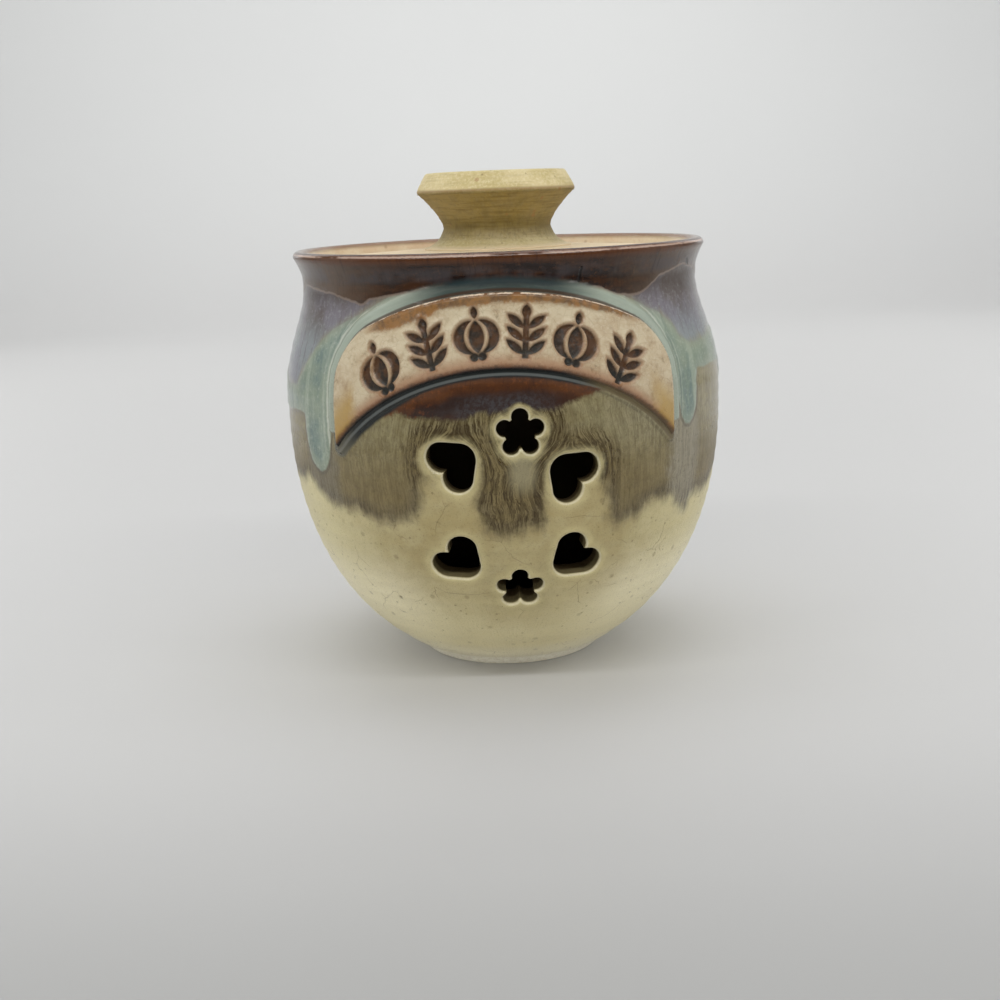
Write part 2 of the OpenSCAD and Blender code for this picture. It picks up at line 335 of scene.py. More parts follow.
def flower_outline():
    """Five round petals on a star: in each direction, the farthest of the petals' circles and the star's
    sides, seen from the middle."""
    reach = FLOWER_R - PETAL_R
    a = np.linspace(0.0, 2.0 * math.pi, 720, endpoint=False)
    width = math.pi / 5
    off = np.abs((a - math.pi / 2 + width) % (2.0 * width) - width)
    side = np.sqrt(np.maximum(0.0, PETAL_R ** 2 - (reach * np.sin(off)) ** 2))
    petal = np.where(reach * np.sin(off) < PETAL_R, reach * np.cos(off) + side, 0.0)
    notch = FLOWER_WAIST * reach
    star = reach * notch * math.sin(width) / (reach * np.sin(off) + notch * np.sin(width - off))
    far = np.maximum(petal, star)
    return np.stack([far * np.cos(a), far * np.sin(a)], axis=1), np.zeros(2)


class Vent:
    """One vent's outline, its local axes on the wall, and its middle, from which the outline is
    seen whole."""

    def __init__(self, kind, turn, rise, spin):
        self.turn = math.radians(VENTS_TURN + turn)
        self.height = VENTS_HEIGHT + rise
        tilt = float(tilt_at(self.height))
        sine, cosine = math.sin(self.turn), math.cos(self.turn)
        radius = float(outer_r(self.height))
        self.origin = np.array([radius * sine, -radius * cosine, self.height])
        self.across = np.array([cosine, sine, 0.0])
        self.up = np.array([-math.sin(tilt) * sine, math.sin(tilt) * cosine, math.cos(tilt)])
        self.out = np.cross(self.across, self.up)
        outline, middle = heart_outline() if kind == "heart" else flower_outline()
        s, c = math.sin(math.radians(spin)), math.cos(math.radians(spin))
        spun = np.array([[c, s], [-s, c]])
        self.middle = middle @ spun
        self.outline = outline @ spun - self.middle
        reach = float(np.hypot(self.outline[:, 0], self.outline[:, 1]).max())
        self.window = reach + VENT_LIP + WINDOW_GAP
        self.inner_window = reach + INNER_LIP + INNER_WINDOW_GAP

    def local(self, points):
        """Distances across, up and out from the vent's middle on the wall."""
        away = points - self.origin
        return np.stack(
            [away @ self.across - self.middle[0], away @ self.up - self.middle[1], away @ self.out], axis=-1
        )

    def on_skin(self, flat, radius_at, deepest):
        """Angle and height where the line along the vent's axis through a flat point meets a turned wall,
        found by halving the stretch between deepest and 3 mm outside."""
        across, up = flat[..., :1] + self.middle[0], flat[..., 1:] + self.middle[1]
        base = self.origin + across * self.across + up * self.up
        near = np.full(flat.shape[:-1], deepest)
        far = np.full(flat.shape[:-1], 3.0)
        for _ in range(40):
            half = (near + far) / 2.0
            p = base + half[..., None] * self.out
            outside = np.hypot(p[..., 0], p[..., 1]) > radius_at(p[..., 2])
            far = np.where(outside, half, far)
            near = np.where(outside, near, half)
        p = base + near[..., None] * self.out
        return np.arctan2(p[..., 0], -p[..., 1]), p[..., 2]


vents = [Vent(*v) for v in VENTS]


def nearest_outline(points, outline):
    """Distance from each flat point to a closed outline, negative inside it."""
    start, end = outline, np.roll(outline, -1, axis=0)
    edge = end - start
    away = points[:, None, :] - start[None]
    share = np.clip((away * edge).sum(2) / (edge ** 2).sum(1), 0.0, 1.0)
    gap = np.hypot(*np.moveaxis(away - share[..., None] * edge, 2, 0)).min(axis=1)
    above = (start[:, 1] > points[:, 1:2]) != (end[:, 1] > points[:, 1:2])
    rise = np.where(edge[:, 1] == 0.0, 1e-9, edge[:, 1])
    crossing = start[:, 0] + (points[:, 1:2] - start[:, 1]) * edge[:, 0] / rise
    inside = (above & (points[:, :1] < crossing)).sum(axis=1) % 2 == 1
    return np.where(inside, -gap, gap)


# ---- the slab's outline and the runs of the glaze ----


def label_top_z(u):
    """Upper edge of the slab: a shallow arc whose two ends turn down in a rounded corner."""
    into = np.maximum(0.0, LABEL_CORNER - (LABEL_HALF - np.abs(u)))
    corner = np.sqrt(np.maximum(0.0, LABEL_CORNER ** 2 - into ** 2)) - LABEL_CORNER
    return LABEL_TOP - LABEL_TOP_RADIUS + np.sqrt(np.maximum(0.0, LABEL_TOP_RADIUS ** 2 - u * u)) + corner


def label_bottom_z(u):
    """Lower edge of the slab: a tighter arc."""
    return LABEL_BOTTOM - LABEL_BOTTOM_RADIUS + np.sqrt(np.maximum(0.0, LABEL_BOTTOM_RADIUS ** 2 - u * u))


def label_outline():
    """The slab's closed outline: distance along the wall and height."""
    u = LABEL_HALF * np.sin(np.linspace(-math.pi / 2, math.pi / 2, 121))
    lower = np.stack([u, label_bottom_z(u)], axis=1)
    upper = np.stack([u[::-1], label_top_z(u[::-1])], axis=1)
    return np.concatenate((lower, upper))


LABEL_OUTLINE = label_outline()

# Edges of the glazes as they ran: angle round the pot in degrees, height in millimetres.
# The front follows the pot, and the back goes on in the same way.
RUN_EDGE = (
    (-180, 57), (-165, 52), (-150, 58), (-138, 50), (-125, 56), (-112, 49), (-100, 57), (-88, 54),
    (-78, 58), (-69.7, 58), (-61.4, 61), (-57.1, 57.6), (-52.5, 54.8), (-47.8, 54.1), (-39.6, 53.8),
    (-36.2, 52.7), (-33.8, 50.9), (-29.8, 51.9), (-27.3, 51.4), (-24.5, 52.9), (-22.2, 55.1),
    (-20.7, 60.2), (-19.9, 64.2), (-17.5, 69), (-13, 72), (-9.5, 69), (-7.5, 60), (-6, 54),
    (-5.3, 50.7), (-3, 48.9), (1.8, 48.5), (4.3, 50.7), (7.9, 50.9), (8.7, 54.7), (9.6, 60), (11.5, 66),
    (15, 69), (20, 68), (23.5, 62), (25.2, 55), (26.4, 50.5), (28.2, 48.9), (32.2, 51), (34, 50.1),
    (36.5, 53.3), (41.2, 54.9), (46.4, 53.3), (49.8, 49.9), (54.4, 47.4), (55.7, 51.6), (64.6, 51.6),
    (69.7, 52.5), (82, 56), (95, 50), (108, 57), (120, 51), (133, 58), (147, 52), (160, 59), (172, 53),
    (180, 57),
)
TEAL_TOP = (
    (-180, 98), (-160, 95), (-140, 99), (-120, 95), (-100, 97), (-88, 92), (-76, 86), (-64.9, 86),
    (-61.8, 90.1), (-58.1, 94.8), (-55.3, 97.9), (-49.8, 102.2), (-43.2, 104.9), (-37.3, 107.5),
    (-30, 111), (-15, 113.2), (0, 113.6), (15, 113), (28, 111), (32.9, 109.3), (37, 107.6),
    (41.6, 105.5), (45.8, 103.7), (49.9, 100.8), (52, 96.7), (56.5, 94.5), (66.3, 95), (80, 97),
    (100, 93), (120, 98), (145, 94), (180, 98),
)
TEAL_LOW = (
    (-180, 80), (-172, 79), (-167, 70), (-163, 71), (-158, 83), (-146, 84), (-140, 75), (-136, 76),
    (-130, 85), (-118, 84), (-114, 71), (-110, 70), (-105, 83), (-96, 84), (-86, 80), (-76.7, 77.7),
    (-65.9, 78.9), (-59.5, 78.6), (-59.2, 73.4), (-58.4, 68.4), (-57.2, 65.4), (-55.4, 63.6),
    (-53.2, 62.9), (-51, 63.6), (-49.3, 65.7), (-48, 69.4), (-46.8, 75.6), (-45.5, 82), (-43, 92),
    (-35, 104), (-20, 108), (0, 109), (20, 108), (35, 104), (43, 92), (45.6, 84.2), (47.6, 78.4),
    (48.6, 75), (50, 73.2), (51.8, 72.7), (53.7, 74), (55.2, 76.6), (55.8, 80), (56.1, 84.4),
    (57, 87.6), (61.9, 87.1), (66.3, 87.4), (78, 86), (86, 78), (91, 77), (97, 87), (108, 86),
    (114, 73), (119, 73), (125, 84), (138, 85), (146, 77), (151, 78), (157, 87), (168, 76), (173, 76),
    (180, 80),
)
RIM_EDGE = (
    (-180, 110), (-160, 112.6), (-145, 109), (-128, 112), (-112, 108.6), (-96, 111.6), (-82, 109.6),
    (-72, 113), (-65.8, 112.5), (-50.7, 111.3), (-44.4, 110.1), (-39, 108.9), (-35.9, 110.3),
    (-29.4, 111.4), (-23.4, 112.4), (-19.6, 113.1), (-12.3, 113.9), (0, 114.1), (8.7, 113.6),
    (15, 112.9), (21.2, 112.3), (26.6, 111.5), (30.8, 109.8), (36.4, 108.9), (40.4, 109.5), (44, 110.9),
    (47.7, 113), (55.5, 114.7), (61.1, 115.6), (75, 113), (92, 109), (108, 112), (124, 108.6),
    (142, 112), (160, 109), (180, 110),
)
POOL_LOW = (
    (-180, 130), (-45, 130), (-40, 84), (-34, 80.3), (-24.7, 81.1), (-22.1, 80.8), (-17.2, 80.2),
    (-10.9, 80.5), (-6.7, 81.1), (-2.5, 82.2), (0.5, 82.4), (3.6, 83.4), (8.8, 82.3), (12.3, 82.6),
    (16.3, 83.8), (20.4, 84.7), (24.4, 86.2), (29, 92), (35, 130), (180, 130),
)


def edge_at(table, turn):
    """Height of a glaze's edge at an angle round the pot, in radians."""
    table = np.array(table)
    return np.interp(np.degrees(turn), table[:, 0], table[:, 1])


def wrapped(table):
    """A glaze's edge with a little of its other end added on each side, so that it runs on past
    the back."""
    before = [(turn - 360.0, height) for turn, height in table[:-1] if turn > 120]
    after = [(turn + 360.0, height) for turn, height in table[1:] if turn < -120]
    return before + list(table) + after


def rounded(table):
    """A glaze's edge with points added round the back, on the cubic whose slope at each of the table's
    points is that between its neighbours, so that it has no corners where the points are far apart."""
    turn, height = np.array(wrapped(table), float).T
    slope = np.zeros(len(turn))
    slope[1:-1] = (height[2:] - height[:-2]) / (turn[2:] - turn[:-2])
    extra = np.arange(72.0, 238.0, 3.5)
    at = np.union1d(turn, np.concatenate((-extra, extra)))
    k = np.clip(np.searchsorted(turn, at, side="right") - 1, 0, len(turn) - 2)
    step = turn[k + 1] - turn[k]
    t = (at - turn[k]) / step
    rise = height[k + 1] - height[k]
    curve = height[k] + rise * t * t * (3.0 - 2.0 * t)
    curve += step * t * (1.0 - t) * (slope[k] * (1.0 - t) - slope[k + 1] * t)
    return np.stack([at, curve], axis=1)


ALL_ROUND = np.array([(-250.0, 200.0), (250.0, 200.0)])
RUN_CURVE, RIM_CURVE = rounded(RUN_EDGE), rounded(RIM_EDGE)
TEAL_TOP_CURVE, TEAL_LOW_CURVE = rounded(TEAL_TOP), rounded(TEAL_LOW)


def band_gap(turn, z, top, low):
    """Distance from points of the wall to a band between two edges round the pot, positive inside it."""
    outline = np.concatenate((low, top[::-1])) * [math.radians(BELLY_R), 1.0]
    flat = np.stack([turn * BELLY_R, z], axis=1)
    return -nearest_outline_chunks(flat, outline)


# ---- the pot ----

FRONT_TURN = math.radians(60.0)
FRONT_COLUMNS = 151
BACK_COLUMNS = 190
# The vents lie between these heights, where the pot's rows are closest together.
VENTS_FROM = 26.0
VENTS_TO = 84.0
SPOKES = 144
# Depth below the outer wall that stands for all of the inside, and a distance beyond any stain's reach.
DEEP = 20.0
FAR = 30.0
# A point that lies farther in than this, seen from a vent, is on the pot's other side.
OTHER_SIDE = -25.0
# Stains round a vent lie within this distance of its middle.
VENT_REACH = 24.0
# How far below and above its edge the pool's depth of colour is worked out.
POOL_REACH = 20.0

# Heights and widths of the relief in the glaze.
BEAD_HEIGHT = 1.25
BEAD_WIDTH = 1.6
RING_OUT = 2.4
RING_WIDTH = 1.5
TEAL_EDGE = 0.34
BROWN_EDGE = 0.22
THROWING_HEIGHT = 0.06
THROWING_PITCH = 4.3
RELIEF_BASE = 0.2


def pot_turns():
    """Angles of the pot's columns, close together across the front and wider round the back."""
    front = np.linspace(-FRONT_TURN, FRONT_TURN, FRONT_COLUMNS)
    back = np.linspace(FRONT_TURN, 2.0 * math.pi - FRONT_TURN, BACK_COLUMNS + 1)[1:-1]
    return np.concatenate((front, back))


def spaced(points, steps):
    """A line of the half section cut into equal lengths, with one step each for below, beside and
    above the vents."""
    z = points[:, 1]
    zone = (z > VENTS_FROM).astype(int) + (z > VENTS_TO)
    parts = [evenly(points[zone == k], step) for k, step in enumerate(steps)]
    return np.concatenate(parts if z[0] < z[-1] else parts[::-1])


def pot_rows():
    """The pot's half section from the middle of the foot, up the outside, over the lip and down to
    the floor. The third column is 0 on the outside and 1 from the crest of the lip inwards."""
    foot_r = FOOT_R + FOOT_FLARE
    belly_start = [foot_r + 3.2, FOOT_BAND + 1.4]
    under = soften([[0.0, 0.0], [FOOT_R, 0.0], [foot_r, FOOT_BAND], belly_start], [0.5, 0.4])
    start = math.asin(min(1.0, (BELLY_HEIGHT - FOOT_BAND) / BELLY_DROP))
    a = np.linspace(start, 0.0, 300)
    z = BELLY_HEIGHT - BELLY_DROP * np.sin(a)
    lower = np.stack([outer_r(z), z], axis=1)[4:]
    z = np.linspace(BELLY_HEIGHT, LIP_HEIGHT, 400)
    upper = np.stack([outer_r(z), z], axis=1)[1:]
    skin = spaced(np.concatenate((lower, upper)), (1.2, 0.85, 1.0))
    crest = arc((RIM_R - LIP_R, LIP_HEIGHT), LIP_R, 0.0, math.pi / 2, 8)[1:]
    lip = arc((RIM_R - LIP_R, LIP_HEIGHT), LIP_R, math.pi / 2, math.pi, 8)[1:]
    slope = SEAT_HEIGHT - SEAT_THICKNESS - SEAT_SLOPE
    seat = soften(
        [
            lip[-1],
            [SEAT_R, SEAT_HEIGHT],
            [MOUTH_R, SEAT_HEIGHT],
            [MOUTH_R, SEAT_HEIGHT - SEAT_THICKNESS],
            [float(inner_r(slope)), slope],
            [float(inner_r(slope - 3.0)), slope - 3.0],
        ],
        [0.8, 0.8, 0.8, 1.6],
    )
    z = np.linspace(slope - 3.2, BELLY_HEIGHT, 100)
    a = np.linspace(0.0, math.pi / 2, 300)[1:]
    bowl = BELLY_HEIGHT - (BELLY_HEIGHT - FLOOR_THICKNESS) * np.sin(a)
    hollow = np.concatenate((np.stack([inner_r(z), z], axis=1), np.stack([inner_r(bowl), bowl], axis=1)))
    hollow = spaced(hollow[hollow[:, 0] > 2.0], (2.6, 1.0, 2.2))
    inside = np.concatenate((lip, seat[1:], hollow, [[0.0, FLOOR_THICKNESS]]))
    outside = np.concatenate((under[:-1], skin, crest))
    rows = np.concatenate((outside, inside))
    side = np.concatenate((np.zeros(len(outside)), np.ones(len(inside))))
    return np.column_stack((rows, side))


def stitch(ring, ring_angle, loop, loop_angle, facing_out):
    """Triangles between an inner ring and an outer loop of points, both sorted by their angle round one
    middle. Going round, each point met makes a triangle with the last point met on the other side. The
    loop's angles are first evened out by half, so that no triangle is a sliver where the loop's steps
    point at the middle."""
    even = np.arange(len(loop)) * 2.0 * math.pi / len(loop)
    even = even + (loop_angle - even).mean()
    angle = np.concatenate((ring_angle, (loop_angle + even) / 2.0))
    from_loop = np.concatenate((np.zeros(len(ring), bool), np.ones(len(loop), bool)))
    order = np.argsort(angle, kind="stable")
    from_loop = from_loop[order]
    met_loop = np.cumsum(from_loop) - 1
    met_ring = np.cumsum(~from_loop) - 1
    a, b = loop[met_loop], ring[met_ring]
    on_loop = np.stack([loop[met_loop - 1], a, b], axis=1)
    on_ring = np.stack([ring[met_ring - 1], a, b], axis=1)
    triangles = np.where(from_loop[:, None], on_loop, on_ring)
    return triangles if facing_out else triangles[:, ::-1]


def noise_wave(turn, z, seed, scale=1.0):
    """Smooth irregular height field: a sum of sines of seeded whole frequencies round the pot and seeded
    frequencies up it."""
    waves = 9
    chance = np.random.default_rng(seed)
    total = np.zeros(np.broadcast(turn, z).shape)
    for _ in range(waves):
        round_it = chance.integers(1, 9) * turn
        up_it = chance.uniform(0.02, 0.16) * scale * z
        total = total + np.sin(round_it + up_it + chance.uniform(0.0, 6.28))
    return total / math.sqrt(waves)


class Glazes:
    """Where each glaze lies at points of the outer wall: distances in millimetres, positive inside the
    glaze. slab is the distance to the slab's outline, negative inside it, and below is 1 up to a little
    over the slab's lower edge and 0 from there on."""

    def __init__(self, turn, z):
        self.slab = nearest_outline_chunks(np.stack([turn * BELLY_R, z], axis=1), LABEL_OUTLINE)
        self.run = band_gap(turn, z, ALL_ROUND, RUN_CURVE)
        self.teal = band_gap(turn, z, TEAL_TOP_CURVE, TEAL_LOW_CURVE)
        self.rim = band_gap(turn, z, ALL_ROUND, RIM_CURVE)
        upper = z > label_bottom_z(np.clip(turn * BELLY_R, -LABEL_HALF, LABEL_HALF)) + 4.0
        self.below = np.where(upper, 0.0, 1.0)


def nearest_outline_chunks(flat, outline):
    """Distance to an outline, worked out in parts to save memory."""
    return np.concatenate([nearest_outline(part, outline) for part in np.array_split(flat, 16)])


def skin_relief(turn, z, glaze):
    """Height of the glaze and the throwing rings on the outside: a bead along the slab's edge with a
    thicker ring over its top, thick edges of the celadon and of the rim's glaze, shallow throwing rings,
    and a soft unevenness."""
    bead = BEAD_HEIGHT * np.exp(-(np.maximum(0.0, glaze.slab) / BEAD_WIDTH) ** 2)
    ring = BEAD_HEIGHT * np.exp(-((glaze.slab - RING_OUT) / RING_WIDTH) ** 2) * (1.0 - glaze.below)
    bead = np.maximum(bead, ring)
    teal = TEAL_EDGE * smooth_step(glaze.teal / 1.3) * np.exp(-np.maximum(0.0, glaze.teal) / 9.0)
    brown = BROWN_EDGE * smooth_step(glaze.rim / 0.7) * np.exp(-np.maximum(0.0, glaze.rim) / 3.0)
    wave = np.sin(z * 2.0 * math.pi / THROWING_PITCH + 0.6 * np.sin(turn * 2.0))
    throwing = THROWING_HEIGHT * wave - THROWING_HEIGHT
    uneven = 0.06 * noise_wave(turn, z, seed=5)
    return np.maximum(bead, teal) + brown + throwing + uneven - RELIEF_BASE


def skin_points(turn, z, glaze):
    """The outer wall with its relief, which fades out towards the foot and the lip."""
    shade = np.clip(np.minimum(z - FOOT_BAND - 1.0, LIP_HEIGHT - z) / 3.0, 0.0, 1.0)
    return off_wall(turn, z, skin_relief(turn, z, glaze) * shade)


def vent_rings(vent):
    """Rings of points from the wall round a vent, over its rounded lip, through the wall and out inside.
    Each has its flat points, its side (0 outer wall, 1 inner wall) and its depth below that side."""
    closed = np.concatenate((vent.outline, vent.outline[:1]))
    run = run_along(closed)
    at = np.linspace(0.0, run[-1], SPOKES, endpoint=False)
    edge = np.stack([np.interp(at, run, closed[:, 0]), np.interp(at, run, closed[:, 1])], axis=1)
    edge = edge[np.argsort(np.arctan2(edge[:, 1], edge[:, 0]))]
    reach = np.hypot(edge[:, 0], edge[:, 1])[:, None]
    ray = edge / reach
    width = 4
    smooth = np.stack([np.roll(reach, k, axis=0) for k in range(-width, width + 1)]).mean(axis=0)
    smooth = np.maximum(smooth, reach)
    a = np.linspace(0.0, math.pi / 2, 6)
    rings = []
    for share in (1.0, 0.66, 0.33):
        out = (smooth + VENT_LIP) * (1 - share) + (vent.window - RING_INSET) * share
        rings.append((ray * out, 0, 0.0))
    for turn in a:
        mix = 1 - math.sin(turn)
        out = reach + VENT_LIP * mix + (smooth - reach) * mix
        rings.append((ray * out, 0, VENT_LIP * (1 - math.cos(turn))))
    for turn in a[::-2]:
        out = reach + INNER_LIP * (1 - math.sin(turn))
        rings.append((ray * out, 1, INNER_LIP * (1 - math.cos(turn))))
    rings.append((ray * (vent.inner_window - RING_INSET), 1, 0.0))
    return rings


def flow_line(turn, z):
    """Sideways place, along the wall, of the line down which the glaze ran: as a stream parts round posts,
    each vent pushes the lines aside by its radius squared over the distance squared, times the distance
    across."""
    post = 7.0
    u = turn * BELLY_R
    line = u.copy()
    for vent in vents:
        across, up = u - vent.turn * BELLY_R, z - vent.height
        far = np.maximum(across ** 2 + up ** 2, (0.8 * post) ** 2)
        line = line - post ** 2 * across / far
    return line


class Gathered:
    """Points gathered part by part, each with its angle round the pot, its height and its depth in
    the wall."""

    def __init__(self):
        self.parts = []
        self.count = 0

    def add(self, points, turn, height, depth):
        """Adds a part and gives the number of its first point."""
        first = self.count
        self.parts.append(np.column_stack((points, *np.broadcast_arrays(turn, height, depth))))
        self.count += len(points)
        return first


def vent_window(vent, which, points, side, quads):
    """The window that is cut round a vent into the grid of one side of the wall: the cells that go, the
    loop of points round them, and the points' angles round the vent's middle, by which they are sorted."""
    spot = vent.local(points).reshape(*side.shape, 3)
    reach = vent.inner_window if which else vent.window
    near = np.hypot(spot[..., 0], spot[..., 1]) < reach
    inside = near & (side == which) & (spot[..., 2] > OTHER_SIDE)
    after = np.roll(inside, -1, axis=1)
    cut = inside[:-1] | inside[1:] | after[:-1] | after[1:]
    touched = np.bincount(quads[cut].ravel(), minlength=len(points))
    loop = np.nonzero((touched > 0) & (touched < 4))[0]
    away = vent.local(points[loop])
    angle = np.arctan2(away[:, 1], away[:, 0])
    order = np.argsort(angle)
    return cut, loop[order], angle[order]


def wall_ring(vent, ring, which, depth):
    """Points of one ring round a vent, with their angle and height, at a depth below their side of
    the wall."""
    turn, z = vent.on_skin(ring, inner_r if which else outer_r, -14.0 if which else -4.0)
    if which:
        points = about_axis(inner_r(z), turn, z) + depth * vent.out
    else:
        points = skin_points(turn, z, Glazes(turn, z)) - depth * vent.out
    return points, turn, z


def vent_distance(points):
    """Distance to the nearest vent's outline, negative inside it and FAR where no vent is near."""
    gap = np.full(len(points), FAR)
    for vent in vents:
        spot = vent.local(points)
        near = (np.hypot(spot[:, 0], spot[:, 1]) < VENT_REACH) & (spot[:, 2] > OTHER_SIDE)
        gap[near] = np.minimum(gap[near], nearest_outline(spot[near, :2], vent.outline))
    return gap


def pot_attributes(points, turn, z, depth):
    """What the pot's glazes need to know of each point."""
    glaze = Glazes(turn, z)
    line = flow_line(turn, z) / BELLY_R
    return {
        "slab": glaze.slab,
        "below": glaze.below,
        "run": glaze.run,
        "teal": glaze.teal,
        "rim": glaze.rim,
        "shoulder": z - edge_at(TEAL_TOP_CURVE, turn),
        "pool": np.clip(z - edge_at(POOL_LOW, turn), -POOL_REACH, POOL_REACH),
        "front": np.degrees(np.arcsin(np.sin(turn))),
        "vent": vent_distance(points),
        "depth": depth,
        "stream": about_axis(1.0, line, z / BELLY_R) * BELLY_R,
    }


def make_pot():
    """The pot as one closed skin: a turned grid with a window cut round each vent on both sides of the
    wall, and rings of points that carry the wall over the vent's lip and through to the inside."""
    turns, rows = pot_turns(), pot_rows()
    body = rows[1:-1]
    shape = (len(body), len(turns))
    side = np.broadcast_to(body[:, 2:], shape)
    z = np.broadcast_to(body[:, 1:2], shape).ravel()
    turn = np.broadcast_to(np.where(turns > math.pi, turns - 2.0 * math.pi, turns), shape).ravel()
    grid = about_axis(body[:, :1], turns, body[:, 1:2]).reshape(-1, 3)
    skin = (side.ravel() == 0) & (z > FOOT_BAND + 1.0) & (z < LIP_HEIGHT)
    grid[skin] = skin_points(turn[skin], z[skin], Glazes(turn[skin], z[skin]))
    cells = grid_quads(*shape, True)
    keep = np.ones(cells.shape[:2], bool)
    gathered = Gathered()
    gathered.add(grid, turn, z, side.ravel() * DEEP)
    quads, triangles = [], []
    for vent in vents:
        rings = vent_rings(vent)
        first = gathered.count
        for ring, which, depth in rings:
            last = gathered.add(*wall_ring(vent, ring, which, depth), DEEP if which else depth)
        quads.append(grid_quads(len(rings), SPOKES, True).reshape(-1, 4) + first)
        spokes = np.arctan2(rings[0][0][:, 1], rings[0][0][:, 0])
        for which, ring_start in enumerate((first, last)):
            cut, loop, angle = vent_window(vent, which, grid, side, cells)
            keep &= ~cut
            triangles.append(stitch(np.arange(SPOKES) + ring_start, spokes, loop, angle, which == 0))
    ends = np.array([[0.0, 0.0, rows[0, 1]], [0.0, 0.0, rows[-1, 1]]])
    end = gathered.add(ends, 0.0, ends[:, 2], [0.0, DEEP])
    first_row = np.arange(len(turns))
    triangles.append(fan(first_row, end, False))
    triangles.append(fan(first_row + len(grid) - len(turns), end + 1, True))
    table = np.concatenate(gathered.parts)
    points, (turn, z, depth) = table[:, :3], table[:, 3:].T
    quads = np.concatenate([cells[keep]] + quads)
    triangles = np.concatenate(triangles)
    return make_mesh("pot", points, quads, triangles, pot_attributes(points, turn, z, depth))


# ---- the slab ----


def oval_gap(p, middle, turn, width, height):
    """Distance to a pointed oval, negative inside: the farther of the two circles whose overlap it is."""
    c, s = math.cos(math.radians(turn)), math.sin(math.radians(turn))
    x = (p[..., 0] - middle[0]) * c + (p[..., 1] - middle[1]) * s
    y = (p[..., 1] - middle[1]) * c - (p[..., 0] - middle[0]) * s
    radius = (width ** 2 + height ** 2) / (4.0 * width)
    return np.hypot(np.abs(x) + radius - width / 2.0, y) - radius


def bulge_gap(x, y, bulge, height):
    """Distance to the circle that bulges to +X from two points, one height apart on the Y axis."""
    radius = (bulge ** 2 + height ** 2 / 4.0) / (2.0 * bulge)
    return np.hypot(x - bulge + radius, y) - radius


def bulb_gap(p):
    """Distance to a garlic bulb: a clove in the middle, one curved round each side of it, a stem
    and a root."""
    h = STAMP_H
    clove = 0.62 * h
    x, y = np.abs(p[..., 0]) - 0.05 * h, p[..., 1] + 0.07 * h
    side = np.maximum(bulge_gap(x, y, 0.37 * h, clove), -bulge_gap(x, y, 0.18 * h, clove))
    parts = [
        np.maximum(side, -x),
        oval_gap(p, (0.0, -0.07 * h), 0.0, 0.28 * h, clove),
        oval_gap(p, (0.0, 0.39 * h), 0.0, 0.13 * h, 0.24 * h),
        oval_gap(p, (0.0, -0.44 * h), 0.0, 0.3 * h, 0.06 * h),
    ]
    return np.minimum.reduce(parts)


def sprig_gap(p):
    """Distance to an upright sprig: a stem with three pairs of leaves."""
    h = STAMP_H
    stem = np.maximum(np.abs(p[..., 0]) - 0.055 * h, np.abs(p[..., 1] + 0.07 * h) - 0.43 * h)
    parts = [stem, oval_gap(p, (0.0, 0.37 * h), 0.0, 0.17 * h, 0.28 * h)]
    for s in (-1, 1):
        for k in (-1, 0, 1):
            parts.append(oval_gap(p, (s * 0.19 * h, (0.24 * k - 0.06) * h), -52.0 * s, 0.15 * h, 0.42 * h))
    return np.minimum.reduce(parts)


def stamp_gap(u, z):
    """Distance to the nearest stamp on the slab, negative inside it."""
    gap = np.full(u.shape, FAR)
    for k in range(STAMP_COUNT):
        middle = (k - (STAMP_COUNT - 1) / 2.0) * STAMP_PITCH
        rise = float(label_bottom_z(middle)) + STAMP_RISE
        tilt = float(tilt_at(rise))
        lean = -math.asin(middle / LABEL_BOTTOM_RADIUS)
        radius = float(outer_r(rise)) + LABEL_THICKNESS
        across = (u - middle) * radius / BELLY_R
        up = (z - rise) / math.cos(tilt)
        c, s = math.cos(lean), math.sin(lean)
        flat = np.stack([across * c + up * s, up * c - across * s], axis=-1)
        gap = np.minimum(gap, bulb_gap(flat) if k % 2 == 0 else sprig_gap(flat))
    return gap


def crowded(count, share):
    """Numbers from -1 to 1 that crowd towards both ends: a share of a sine and the rest even."""
    t = np.linspace(-1.0, 1.0, count)
    return np.sin(t * math.pi / 2.0) * share + t * (1.0 - share)


def slab_lift(edge_gap, stamp, turn, z):
    """Height of the slab's face above the wall: rounded edges, a soft unevenness, and the stamps'
    recesses with their swollen borders."""
    into = np.clip(edge_gap / LABEL_ROUND, 0.0, 1.0)
    face = LABEL_THICKNESS * np.sqrt(np.maximum(0.0, 1.0 - (1.0 - into) ** 2))
    waves = SLAB_WAVES * noise_wave(turn * 3.0, z, seed=11, scale=4.0) - 0.12
    swell = STAMP_SWELL * np.exp(-((stamp - 0.7) / 0.6) ** 2)
    return face + (waves + swell) * into - STAMP_DEPTH * smooth_step(0.5 - stamp / STAMP_WALL)


